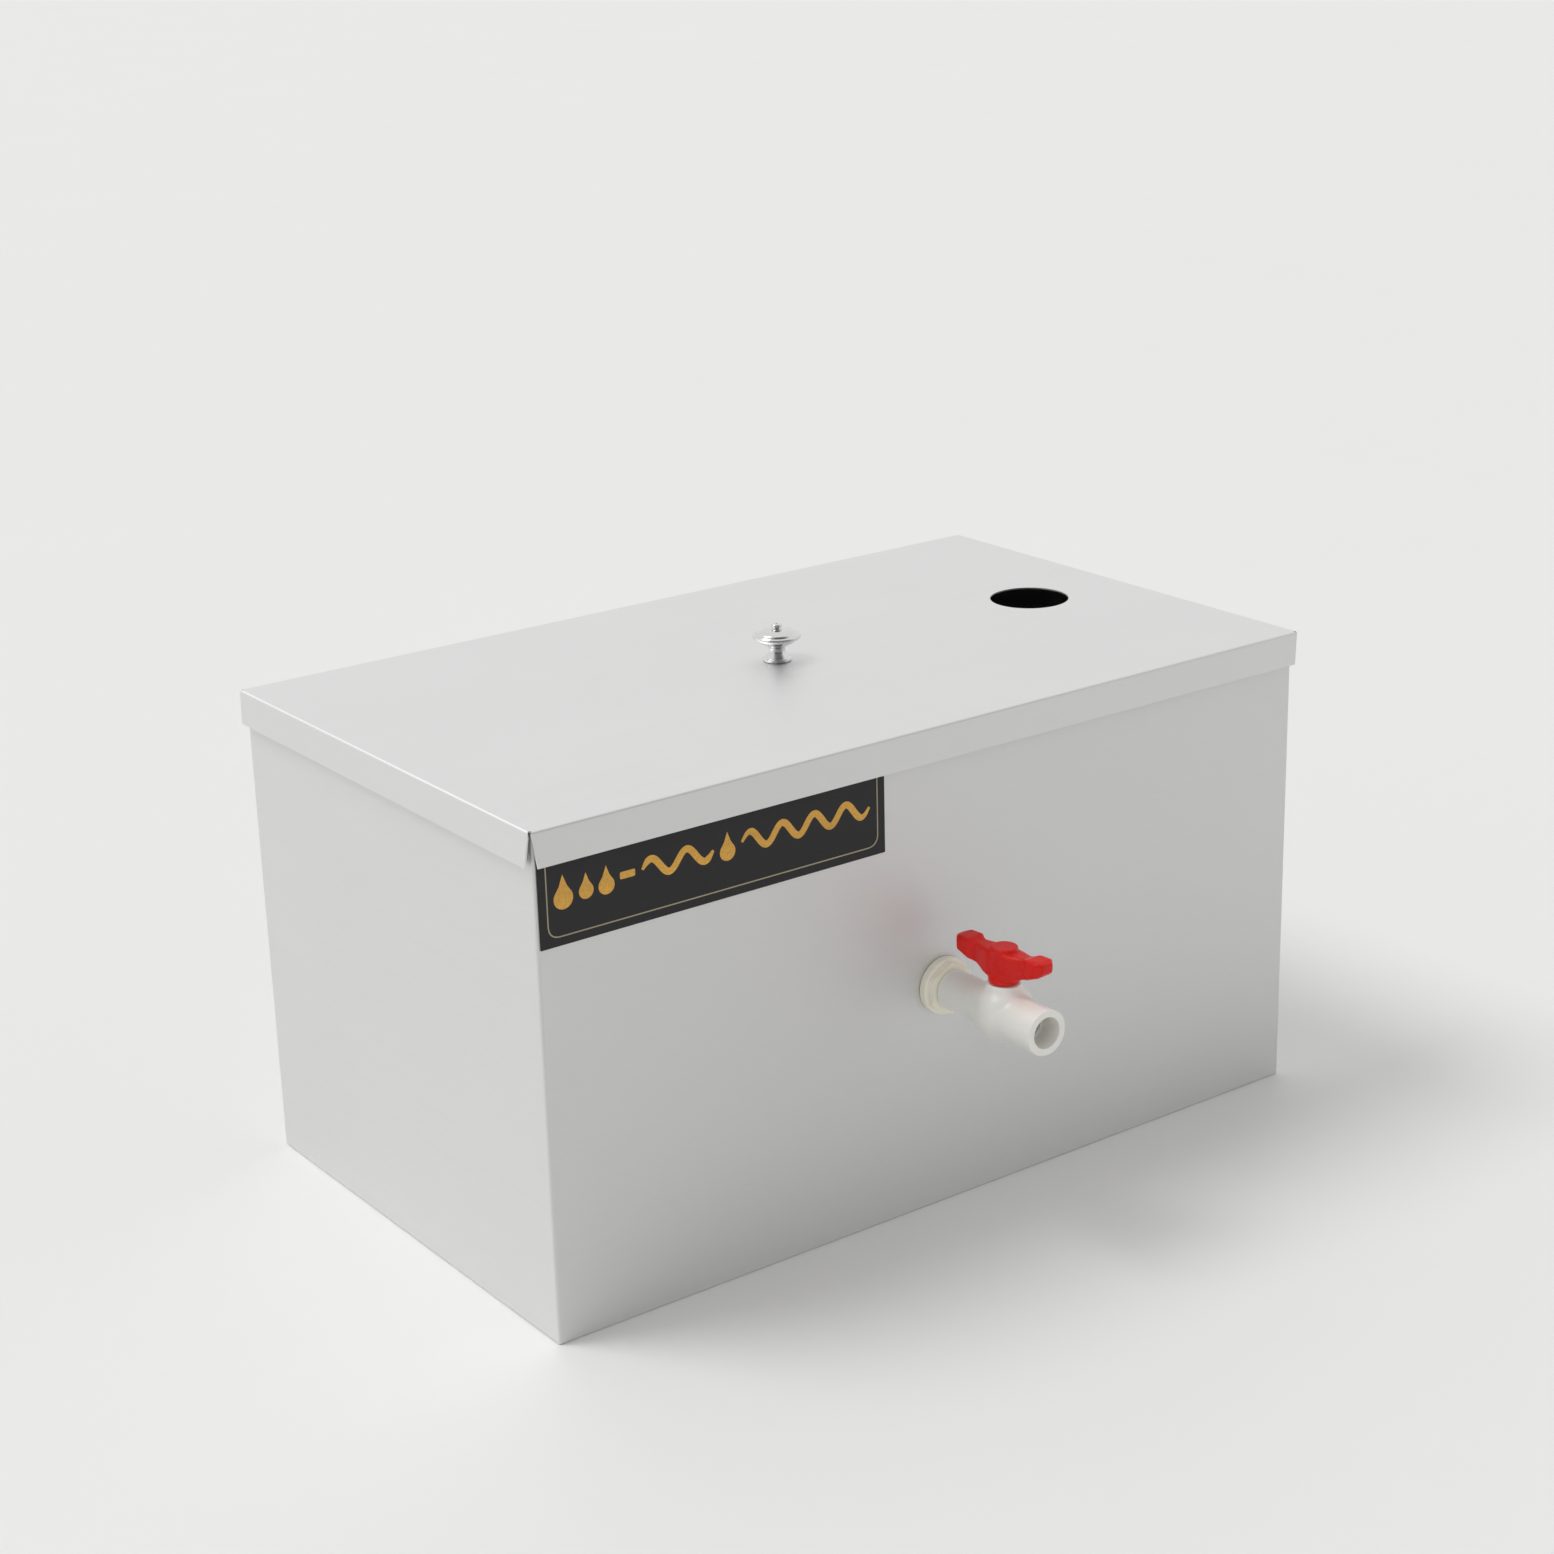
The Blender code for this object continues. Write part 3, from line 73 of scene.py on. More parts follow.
class Sides(IntEnum):
    """Facets round a turned form."""

    RELIEF = 20
    SCREW = 32
    STEM = 48
    RING = 64
    BODY = 72
    PIPE = 96
    KNOB = 120


class Body(Enum):
    """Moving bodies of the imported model."""

    TRAP = "trap"
    VALVE_PLUG = "valve_plug"
    BAIL = "bail"


class Wall(Enum):
    """Walls that a fitting can stand on, each with the quarter turns about X that stand it there."""

    FRONT = 1
    REAR = -1


# Shapes


def arc(centre: Pair, radius: float, start: float, end: float, steps: int) -> list[Pair]:
    """Points of an arc between two angles in degrees, both ends included."""
    angles = [math.radians(start + (end - start) * index / steps) for index in range(steps + 1)]
    return [(centre[0] + radius * math.cos(a), centre[1] + radius * math.sin(a)) for a in angles]


def soften(corners: Sequence[Corner], closed: bool = True, steps: int = 5) -> list[Pair]:
    """Rounds the corners of an outline.

    Args:
        corners: Each corner as its two coordinates and its rounding radius, where 0 keeps it sharp.
        closed: Whether the last corner joins the first.
        steps: Chords for each rounded corner.

    Returns:
        The rounded outline.
    """
    outline: list[Pair] = []
    count = len(corners)
    for index, (first, second, radius) in enumerate(corners):
        here = Vector((first, second))
        at_end = not closed and index in (0, count - 1)
        if radius <= 0 or at_end:
            outline.append((first, second))
            continue
        back = Vector(corners[index - 1][:2]) - here
        ahead = Vector(corners[(index + 1) % count][:2]) - here
        half = back.angle(ahead) / 2
        longest = 0.48 * min(back.length, ahead.length)
        reach = min(radius / max(math.tan(half), 1e-6), longest)
        start = here + back.normalized() * reach
        end = here + ahead.normalized() * reach
        for step in range(steps + 1):
            t = step / steps
            point = (1 - t) ** 2 * start + 2 * t * (1 - t) * here + t * t * end
            outline.append((point.x, point.y))
    return outline


def rounded_rectangle(half_x: float, half_y: float, radius: float, steps: int) -> list[Pair]:
    """Outline of a rectangle about the origin with round corners of so many chords."""
    outline: list[Pair] = []
    for quarter, (sign_x, sign_y) in enumerate(((1, 1), (-1, 1), (-1, -1), (1, -1))):
        centre = (sign_x * (half_x - radius), sign_y * (half_y - radius))
        outline += arc(centre, radius, 90 * quarter, 90 * quarter + 90, steps)
    return outline


def rectangle(half_x: float, half_y: float) -> list[Pair]:
    """Outline of a sharp rectangle about the origin."""
    return [(half_x, half_y), (-half_x, half_y), (-half_x, -half_y), (half_x, -half_y)]


def box(left: float, right: float, low: float, high: float, rounding: float) -> list[Corner]:
    """Corners of a rectangle, anticlockwise from the lower left."""
    return [(left, low, rounding), (right, low, rounding), (right, high, rounding), (left, high, rounding)]


def flat_ring(outline: Sequence[Pair], z: float) -> Ring:
    """An outline in XY at a height."""
    return [Vector((x, y, z)) for x, y in outline]


def upright_ring(outline: Sequence[Pair], y: float) -> Ring:
    """An outline in XZ at a distance along Y."""
    return [Vector((x, y, z)) for x, z in outline]


def circle(radius: float, z: float, sides: int) -> Ring:
    """A level circle about Z."""
    angles = [math.tau * index / sides for index in range(sides)]
    return [Vector((radius * math.cos(a), radius * math.sin(a), z)) for a in angles]


def skin(rings: Sequence[Sequence[Vector]], loop: bool = False) -> Builder:
    """Joins rings of equal count into a closed body.

    Args:
        rings: The rings in order.
        loop: Whether the last ring joins the first, instead of a cap at each end.

    Returns:
        A new mesh under construction.
    """
    builder = bmesh.new()
    made = [[builder.verts.new(point) for point in ring] for ring in rings]
    pairs = list(zip(made, made[1:]))
    if loop:
        pairs.append((made[-1], made[0]))
    for lower, upper in pairs:
        count = len(lower)
        for index in range(count):
            after = (index + 1) % count
            builder.faces.new((lower[index], lower[after], upper[after], upper[index]))
    if not loop:
        builder.faces.new(list(reversed(made[0])))
        builder.faces.new(made[-1])
    bmesh.ops.recalc_face_normals(builder, faces=builder.faces)
    return builder


def lathe(profile: Sequence[Pair], sides: int, loop: bool = True) -> Builder:
    """Turns a profile about Z.

    Args:
        profile: Points as (radius, height).
        sides: Number of facets round the axis.
        loop: Whether the profile closes on itself, instead of a cap at each end.

    Returns:
        A new mesh under construction.
    """
    return skin([circle(radius, z, sides) for radius, z in profile], loop)


def cylinder(radius: float, low: float, high: float, sides: int) -> Builder:
    """A plain cylinder about Z that serves as a cutter."""
    return lathe([(radius, low), (radius, high)], sides, loop=False)


def prism(outline: Sequence[Pair], low: float, high: float) -> Builder:
    """An outline in XY raised between two heights."""
    return skin([flat_ring(outline, z) for z in (low, high)])


def washer(hole: float, rim: float, back: float, front: float, rounding: float, sides: int) -> Builder:
    """Turns a washer about Z from the radii of its hole and rim, its two heights and its rim's rounding."""
    inner = 0.0003
    corners = [(hole, back, inner), (rim, back, rounding), (rim, front, rounding), (hole, front, inner)]
    return lathe(soften(corners), sides)


def thread(radius: float, depth: float, pitch: float, span: Pair, rounding: float) -> list[Corner]:
    """Corners of a screw thread's profile.

    Args:
        radius: Its outer radius.
        depth: How deep it is cut.
        pitch: Length of one turn.
        span: Its lowest and highest height.
        rounding: Rounding of its edges.

    Returns:
        The corners, from the lowest up.
    """
    corners: list[Corner] = []
    z, high = span
    while z + pitch < high:
        corners.append((radius - depth, z, rounding))
        corners += [(radius, z + share * pitch, rounding) for share in (0.4, 0.6)]
        z += pitch
    return corners


def sweep(stations: Sequence[Station], across: Vector, sides: int) -> list[Ring]:
    """Circles along a path that lies in one plane.

    Args:
        stations: Point, direction and radius of each circle.
        across: The direction square to the plane of the path.
        sides: Points in each circle.

    Returns:
        The circles as rings.
    """
    rings: list[Ring] = []
    for point, ahead, radius in stations:
        up = across.cross(ahead).normalized()
        ring = []
        for index in range(sides):
            angle = math.tau * index / sides
            ring.append(point + radius * (math.cos(angle) * across + math.sin(angle) * up))
        rings.append(ring)
    return rings


def baked(name: str, builder: Builder) -> bpy.types.Mesh:
    """Turns a mesh under construction, which is used up, into a mesh."""
    mesh = bpy.data.meshes.new(name)
    builder.to_mesh(mesh)
    builder.free()
    return mesh


def linked(name: str, data: bpy.types.ID) -> bpy.types.Object:
    """Puts a mesh, camera or light into the scene."""
    made = bpy.data.objects.new(name, data)
    bpy.context.scene.collection.objects.link(made)
    return made


def discard(helper: bpy.types.Object) -> None:
    """Removes a helper object with its mesh."""
    mesh = helper.data
    bpy.data.objects.remove(helper, do_unlink=True)
    bpy.data.meshes.remove(mesh)


def merged(builders: Iterable[Builder]) -> Builder:
    """Puts several meshes under construction, which are used up, into one."""
    whole = bmesh.new()
    for builder in builders:
        mesh = baked("part", builder)
        whole.from_mesh(mesh)
        bpy.data.meshes.remove(mesh)
    return whole


def evaluated(builder: Builder, change: Callable[[bpy.types.Object], None]) -> Builder:
    """Runs modifiers on a mesh and hands the result back.

    Args:
        builder: The mesh, which is used up.
        change: Adds the modifiers to a helper object.

    Returns:
        The changed mesh under construction.
    """
    helper = linked("helper", baked("helper", builder))
    change(helper)
    bpy.context.view_layer.update()
    done = bpy.data.meshes.new_from_object(helper.evaluated_get(bpy.context.evaluated_depsgraph_get()))
    result = bmesh.new()
    result.from_mesh(done)
    discard(helper)
    bpy.data.meshes.remove(done)
    return result


def thickened(builder: Builder, sheet: float) -> Builder:
    """Gives an outer skin, which is used up, the thickness of its sheet on the inside."""

    def change(helper: bpy.types.Object) -> None:
        """Adds the thickness."""
        solid = helper.modifiers.new("sheet", "SOLIDIFY")
        solid.thickness = sheet
        solid.offset = -1
        solid.use_even_offset = True

    return evaluated(builder, change)


def melted(builder: Builder, voxel: float, rounds: int = 14) -> Builder:
    """Joins bodies that overlap into one moulded skin with soft inner corners.

    Args:
        builder: The overlapping bodies, used up.
        voxel: Size of the new facets.
        rounds: Smoothing rounds.

    Returns:
        The moulded skin.
    """

    def change(helper: bpy.types.Object) -> None:
        """Adds a voxel skin and smoothing."""
        shell = helper.modifiers.new("skin", "REMESH")
        shell.mode = "VOXEL"
        shell.voxel_size = voxel
        soft = helper.modifiers.new("soft", "SMOOTH")
        soft.factor = 0.5
        soft.iterations = rounds

    return evaluated(builder, change)


def carved(builder: Builder, cutters: Sequence[Builder]) -> Builder:
    """Cuts closed bodies out of a mesh.

    Args:
        builder: The mesh to cut, used up.
        cutters: What is taken away, used up.

    Returns:
        The cut mesh.
    """
    tools = [linked("cutter", baked("cutter", cutter)) for cutter in cutters]

    def change(helper: bpy.types.Object) -> None:
        """Adds a cut for each cutter."""
        for tool in tools:
            cut = helper.modifiers.new("cut", "BOOLEAN")
            cut.operation = "DIFFERENCE"
            cut.object = tool
            cut.solver = "EXACT"

    result = evaluated(builder, change)
    for tool in tools:
        discard(tool)
    return result


# Finishes


class Nodes:
    """Adds nodes to a node tree."""

    def __init__(self, tree: bpy.types.NodeTree) -> None:
        """Starts on a tree."""
        self.nodes = tree.nodes
        self.links = tree.links

    def add(
        self, kind: str, inputs: dict[str | int, object], output: str | int = 0, **settings: object
    ) -> Socket:
        """Adds a node.

        Args:
            kind: Blender's node type.
            inputs: Values or sockets for its inputs.
            output: The output that is handed back.
            **settings: Properties of the node.

        Returns:
            The output socket.
        """
        node = self.nodes.new(kind)
        for key, value in settings.items():
            setattr(node, key, value)
        for key, value in inputs.items():
            if isinstance(value, Socket):
                self.links.new(value, node.inputs[key])
            else:
                node.inputs[key].default_value = value
        return node.outputs[output]

    def blend(self, share: Socket, first: Colour, second: Colour) -> Socket:
        """A colour between two colours."""
        inputs = {0: share, 6: (*first, 1.0), 7: (*second, 1.0)}
        return self.add("ShaderNodeMix", inputs, 2, data_type="RGBA")


class Painter(Nodes):
    """Builds the nodes of one material."""

    def __init__(self, material: bpy.types.Material) -> None:
        """Starts on a new material."""
        super().__init__(material.node_tree)
        self.shader = self.nodes["Principled BSDF"]
        self.place = self.add("ShaderNodeTexCoord", {}, "Object")

    def stretched(self, source: Socket, factors: Colour) -> Socket:
        """A vector socket multiplied by three factors."""
        return self.add("ShaderNodeVectorMath", {0: source, 1: factors}, operation="MULTIPLY")

    def noise(self, vector: Socket, scale: float, detail: float) -> Socket:
        """A noise value from 0 to 1 round 0.5."""
        return self.add("ShaderNodeTexNoise", {"Vector": vector, "Scale": scale, "Detail": detail})

    def ranged(self, value: Socket, low: float, high: float, start: float = 0.3, end: float = 0.7) -> Socket:
        """A value mapped from start and end to low and high."""
        inputs = {"Value": value, "From Min": start, "From Max": end, "To Min": low, "To Max": high}
        return self.add("ShaderNodeMapRange", inputs)

    def bump(self, height: Socket, strength: float, distance: float) -> None:
        """Gives the shader a relief."""
        inputs = {"Height": height, "Strength": strength, "Distance": distance}
        self.feed("Normal", self.add("ShaderNodeBump", inputs))

    def feed(self, name: str, source: Socket) -> None:
        """Links a socket to the shader."""
        self.links.new(source, self.shader.inputs[name])

    def fix(self, **values: object) -> None:
        """Sets the shader's own sockets; an underscore stands for a space."""
        for key, value in values.items():
            self.shader.inputs[key.replace("_", " ")].default_value = value


@dataclass(frozen=True)
class Finish:
    """A procedural material, with the record's slot that it belongs to."""

    name: str
    slot: str
    tint: Colour
    roughness: float

    def material(self) -> bpy.types.Material:
        """The material, made at its first use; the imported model's own materials keep their names."""
        name = f"{self.name}_look"
        found = bpy.data.materials.get(name)
        if found is None:
            found = bpy.data.materials.new(name)
            found.use_nodes = True
            self.paint(Painter(found))
        return found

    def shade(self, factor: float) -> Colour:
        """The tint made lighter or darker."""
        return tuple(min(1.0, channel * factor) for channel in self.tint)

    def varied(self, painter: Painter, share: Socket, spread: float) -> Socket:
        """The tint, darker where the share is low and lighter where it is high."""
        return painter.blend(share, self.shade(1 - spread), self.shade(1 + spread))

    def paint(self, painter: Painter) -> None:
        """Builds the nodes."""
        raise NotImplementedError


@dataclass(frozen=True)
class SheetSteel(Finish):
    """Stainless sheet whose fine grain runs along each wall, with faint clouds from rolling and handling."""

    grain: float
    clouds: float
    streak_length: float = 0.12
    streak_width: float = 0.0011
    streak_gloss: float = 0.03
    cloud_gloss: float = 0.012
    end_wall: float = 0.7

    def paint(self, painter: Painter) -> None:
        """Draws the grain along X, or along Y on the walls that face along X."""
        along = 1 / self.streak_length
        across = 1 / self.streak_width
        normal = painter.add("ShaderNodeNewGeometry", {}, "Normal")
        facing = painter.add("ShaderNodeSeparateXYZ", {0: normal})
        sideways = painter.add("ShaderNodeMath", {0: facing}, operation="ABSOLUTE")
        is_end = painter.add("ShaderNodeMath", {0: sideways, 1: self.end_wall}, operation="GREATER_THAN")
        long_way = painter.stretched(painter.place, (along, across, across))
        short_way = painter.stretched(painter.place, (across, along, across))
        inputs = {0: is_end, 4: long_way, 5: short_way}
        grained = painter.add("ShaderNodeMix", inputs, 1, data_type="VECTOR")
        streaks = painter.noise(grained, scale=1.0, detail=3.0)
        clouds = painter.noise(painter.place, scale=9.0, detail=3.0)
        streak_tint = self.varied(painter, painter.ranged(streaks, 0.0, 1.0), self.grain)
        cloud_tint = painter.ranged(clouds, 1 - self.clouds, 1.0)
        colour = painter.add("ShaderNodeVectorMath", {0: streak_tint, 3: cloud_tint}, operation="SCALE")
        painter.feed("Base Color", colour)
        streak_rough = painter.ranged(streaks, -self.streak_gloss, self.streak_gloss)
        rough = painter.ranged(clouds, self.roughness - self.cloud_gloss, self.roughness + self.cloud_gloss)
        painter.feed("Roughness", painter.add("ShaderNodeMath", {0: rough, 1: streak_rough}))
        painter.fix(Metallic=1.0)
        painter.bump(streaks, strength=0.03, distance=0.0001)


@dataclass(frozen=True)
class PolishedMetal(Finish):
    """Bright metal with faint wipe marks."""

    marks: Colour = (160.0, 160.0, 420.0)

    def paint(self, painter: Painter) -> None:
        """Varies the gloss and the tint a little."""
        marks = painter.noise(painter.stretched(painter.place, self.marks), scale=1.0, detail=4.0)
        painter.feed("Base Color", painter.blend(marks, self.shade(0.94), self.shade(1.04)))
        painter.feed("Roughness", painter.ranged(marks, self.roughness * 0.7, self.roughness * 1.6))
        painter.fix(Metallic=1.0)
        painter.bump(marks, strength=0.02, distance=0.0001)


@dataclass(frozen=True)
class MouldedPlastic(Finish):
    """Moulded plastic with flow clouds, a fine skin and a little light inside."""

    mottling: float = 0.04
    relief: float = 0.12
    depth: float = 0.15
    coat: float = 0.0
    index: float = 1.5

    def paint(self, painter: Painter) -> None:
        """Draws the flow clouds and the skin."""
        flow = painter.noise(painter.place, scale=45.0, detail=4.0)
        skin_grain = painter.noise(painter.place, scale=2600.0, detail=2.0)
        painter.feed("Base Color", self.varied(painter, painter.ranged(flow, 0.0, 1.0), self.mottling))
        painter.feed("Roughness", painter.ranged(flow, self.roughness - 0.05, self.roughness + 0.06))
        painter.fix(Subsurface_Weight=self.depth, Subsurface_Scale=0.004)
        painter.fix(Coat_Weight=self.coat, IOR=self.index)
        painter.bump(skin_grain, self.relief, distance=0.00005)


@dataclass(frozen=True)
class Rubber(Finish):
    """Dull moulded rubber with a dusty bloom."""

    bloom: float = 0.08

    def paint(self, painter: Painter) -> None:
        """Draws the bloom and the grain."""
        bloom = painter.noise(painter.place, scale=120.0, detail=4.0)
        painter.feed("Base Color", self.varied(painter, bloom, self.bloom))
        rough = painter.ranged(bloom, self.roughness - self.bloom, self.roughness + self.bloom)
        painter.feed("Roughness", rough)
        grain = painter.noise(painter.place, scale=1800.0, detail=3.0)
        painter.bump(grain, strength=0.3, distance=0.0001)


@dataclass(frozen=True)
class PrintedFilm(Finish):
    """Printed film or ink with fine speckle and slight wear of its tone."""

    speckle: float = 0.12
    index: float = 1.5
    wear: Colour = (18.0, 18.0, 60.0)

    def paint(self, painter: Painter) -> None:
        """Draws the speckle and slow tone changes."""
        specks = painter.noise(painter.place, scale=900.0, detail=2.0)
        tone = painter.noise(painter.stretched(painter.place, self.wear), scale=1.0, detail=3.0)
        both = painter.add("ShaderNodeMath", {0: specks, 1: tone}, operation="MULTIPLY")
        share = painter.ranged(both, 0.0, 1.0, start=0.1, end=0.4)
        painter.feed("Base Color", self.varied(painter, share, self.speckle))
        painter.feed("Roughness", painter.ranged(tone, self.roughness - 0.05, self.roughness + 0.08))
        painter.fix(IOR=self.index)
        painter.bump(specks, strength=0.05, distance=0.00005)


TANK_STEEL = SheetSteel("tank_sheet", "tank_steel", (0.80, 0.80, 0.80), 0.62, grain=0.014, clouds=0.012)
LID_STEEL = SheetSteel("lid_sheet", "lid_steel", (0.80, 0.80, 0.80), 0.50, grain=0.010, clouds=0.008)
INNER_STEEL = SheetSteel("inner_sheet", "inner_steel", (0.60, 0.60, 0.59), 0.36, grain=0.06, clouds=0.06)
WIRE_STEEL = PolishedMetal("drawn_wire", "wire_steel", (0.66, 0.66, 0.66), 0.22)
FASTENER_STEEL = PolishedMetal("fastener_steel", "fastener_steel", (0.55, 0.55, 0.55), 0.30)
CHROME = PolishedMetal("knob_chrome", "knob_chrome", (0.76, 0.76, 0.76), 0.12)
FILM = PrintedFilm("label_film", "label_film", (0.023, 0.022, 0.024), 0.50, index=1.35)
GOLD_INK = PrintedFilm("gold_ink", "label_film", (0.70, 0.37, 0.05), 0.40, speckle=0.2)
LINE_INK = PrintedFilm("line_ink", "label_film", (0.36, 0.32, 0.21), 0.45, speckle=0.08)
SEAL = Rubber("seal_rubber", "seal_rubber", (0.74, 0.72, 0.64), 0.60)
CREAM = MouldedPlastic("cream_plastic", "cream_plastic", (0.93, 0.895, 0.77), 0.40)
WHITE = MouldedPlastic("white_plastic", "white_plastic", (0.88, 0.875, 0.825), 0.36, coat=0.1)
SEAT_WHITE = MouldedPlastic("seat_plastic", "seat_plastic", (0.84, 0.84, 0.82), 0.30, relief=0.04)
RED = MouldedPlastic("red_plastic", "red_plastic", (0.70, 0.013, 0.009), 0.28, depth=0.0, index=1.30)
GREY = MouldedPlastic("grey_plastic", "grey_plastic", (0.36, 0.37, 0.385), 0.42, depth=0.0)


# Sub-assemblies


class SubAssembly:
    """Something that builds pieces and dresses them."""

    def build(self) -> None:
        """Makes the pieces."""
        raise NotImplementedError

    def add(
        self,
        name: str,
        builder: Builder,
        finish: Finish,
        body: Body = Body.TRAP,
        stands_for: Sequence[str] = (),
        place: Matrix | None = None,
        crease: float = 32.0,
    ) -> bpy.types.Object:
        """Turns a mesh under construction into a dressed piece of the object.

        Args:
            name: Name of the piece.
            builder: Its mesh, used up.
            finish: What it wears.
            body: The body that it rides on.
            stands_for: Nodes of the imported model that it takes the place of.
            place: Where its mesh goes.
            crease: Angle in degrees above which an edge stays sharp.

        Returns:
            The piece.
        """
        if place is not None:
            builder.transform(place)
        mesh = baked(name, builder)
        mesh.shade_smooth()
        mesh.set_sharp_from_angle(angle=math.radians(crease))
        mesh.materials.append(finish.material())
        piece = linked(name, mesh)
        piece.modifiers.new("flats", "WEIGHTED_NORMAL").keep_sharp = True
        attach(piece, body.value)
        if stands_for:
            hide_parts(*stands_for)
        LOG.info("%s: %d faces", name, len(mesh.polygons))
        return piece

    def dress(self, node: str, finish: Finish) -> None:
        """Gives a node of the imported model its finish."""
        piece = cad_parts[node]
        if not piece.material_slots:
            piece.data.materials.append(None)
        for slot in piece.material_slots:
            slot.material = finish.material()
        LOG.info("%s: dressed", node)


def wall_place(wall: Wall, x: float, z: float) -> Matrix:
    """Where a fitting stands whose height points out of a wall."""
    outside = Matrix.Translation((x, -wall.value * TANK_DEPTH / 2, z))
    return outside @ Matrix.Rotation(math.radians(90 * wall.value), 4, "X")


@dataclass
class FoldedTank(SubAssembly):
    """Welded box of stainless sheet with a rim folded inwards."""

    length: float = TANK_LENGTH
    depth: float = TANK_DEPTH
    height: float = 0.3237
    sheet: float = SHEET
    corner: float = 0.0022
    bend: float = 0.0014
    lip: float = 0.010
    valve_hole: float = 0.0133
    outlet_hole: float = 0.0288
    cut_reach: float = 0.02

    def level(self, inset: float, z: float) -> Ring:
        """One level of the folded box."""
        radius = max(self.corner - inset, 0.6 * self.corner)
        return flat_ring(rounded_rectangle(self.length / 2 - inset, self.depth / 2 - inset, radius, 6), z)

    def hole(self, wall: Wall, x: float, z: float, radius: float, sides: int) -> Builder:
        """Cutter for a round hole in a wall."""
        cutter = cylinder(radius, -self.cut_reach, self.cut_reach, sides)
        cutter.transform(wall_place(wall, x, z))
        return cutter

    def build(self) -> None:
        """Makes the box and cuts the holes for the two fittings."""
        sheet = self.sheet
        profile = soften(
            [
                (3 * sheet, 0.0, 0.0),
                (0.0, 0.0, self.bend),
                (0.0, self.height, self.bend),
                (self.lip, self.height, 0.0003),
                (self.lip, self.height - sheet, 0.0003),
                (sheet, self.height - sheet, 0.0005),
                (sheet, sheet, 0.0006),
                (3 * sheet, sheet, 0.0),
            ],
            closed=False,
        )
        box = skin([self.level(inset, z) for inset, z in profile])
        valve = self.hole(Wall.FRONT, VALVE_X, VALVE_Z, self.valve_hole, Sides.RING)
        outlet = self.hole(Wall.REAR, OUTLET_X, OUTLET_Z, self.outlet_hole, Sides.PIPE)
        self.add("tank_sheet", carved(box, [valve, outlet]), TANK_STEEL, stands_for=["tank_shell"])


@dataclass
class FoldedLid(SubAssembly):
    """Lid folded from one sheet, with flared skirts, relief holes at the corners and the inlet hole."""

    length: float = TANK_LENGTH
    depth: float = TANK_DEPTH
    underside: float = 0.3240
    sheet: float = SHEET
    play: float = 0.0020
    skirt: float = 0.0220
    flare: float = 0.0018
    bend: float = 0.0016
    bend_steps: int = 8
    setback: float = 0.0006
    gap: float = 0.0013
    taper: float = 0.0040
    relief: float = 0.0011
    inlet_x: float = 0.224
    inlet_y: float = 0.005
    inlet_radius: float = 0.0275
    screw_hole: float = SCREW_HOLE
    cut_reach: float = 0.01

    def half(self, side: float) -> float:
        """Half of the lid's outer side over a side of the tank."""
        return side / 2 + self.play + self.sheet

    def skirt_rows(self, along: float, across: float) -> list[Corner]:
        """Half length, distance out and height of each row of points from the top to the skirt's edge.

        Args:
            along: Half length of the lid along this skirt.
            across: Half length of the lid across it.

        Returns:
            The rows.
        """
        top = self.underside + self.sheet
        lean = math.atan2(self.flare, self.skirt)
        setback = self.bend + self.setback
        rows = []
        for step in range(self.bend_steps + 1):
            share = step / self.bend_steps
            angle = (math.radians(90) - lean) * share
            end = along - setback + (setback - self.gap) * share
            out = across - self.bend + self.bend * math.sin(angle)
            rows.append((end, out, top - self.bend + self.bend * math.cos(angle)))
        _, fold_out, fold_z = rows[-1]
        drop = self.skirt - (top - fold_z)
        rows.append((along - self.taper, fold_out + drop * math.tan(lean), fold_z - drop))
        return rows

    def folded_sheet(self) -> Builder:
        """The outer skin of the lid before it gets its thickness."""
        half_x, half_y = self.half(self.length), self.half(self.depth)
        builder = bmesh.new()
        top_loop = []
        for quarter in range(4):
            along, across = (half_x, half_y) if quarter % 2 == 0 else (half_y, half_x)
            turn = Matrix.Rotation(math.radians(90 * quarter), 4, "Z")
            made = []
            for reach, out, z in self.skirt_rows(along, across):
                left = builder.verts.new(turn @ Vector((-reach, -out, z)))
                right = builder.verts.new(turn @ Vector((reach, -out, z)))
                made.append((left, right))
            for upper, lower in zip(made, made[1:]):
                builder.faces.new((upper[0], lower[0], lower[1], upper[1]))
            top_loop += made[0]
        top = builder.faces.new(top_loop)
        bmesh.ops.recalc_face_normals(builder, faces=builder.faces)
        if top.normal.z < 0:
            bmesh.ops.reverse_faces(builder, faces=builder.faces)
        return builder

    def build(self) -> None:
        """Thickens the sheet and cuts its holes."""
        low = self.underside - self.cut_reach
        high = self.underside + self.cut_reach
        inlet = cylinder(self.inlet_radius, low, high, Sides.PIPE)
        inlet.transform(Matrix.Translation((self.inlet_x, self.inlet_y, 0)))
        cutters = [inlet, cylinder(self.screw_hole, low, high, Sides.SCREW)]
        corner_x = self.half(self.length) - self.bend
        corner_y = self.half(self.depth) - self.bend
        for x in (-corner_x, corner_x):
            for y in (-corner_y, corner_y):
                relief = cylinder(self.relief, self.underside - 2 * self.sheet, high, Sides.RELIEF)
                relief.transform(Matrix.Translation((x, y, 0)))
                cutters.append(relief)
        cover = thickened(self.folded_sheet(), self.sheet)
        self.add("lid_sheet", carved(cover, cutters), LID_STEEL, stands_for=["lid"])


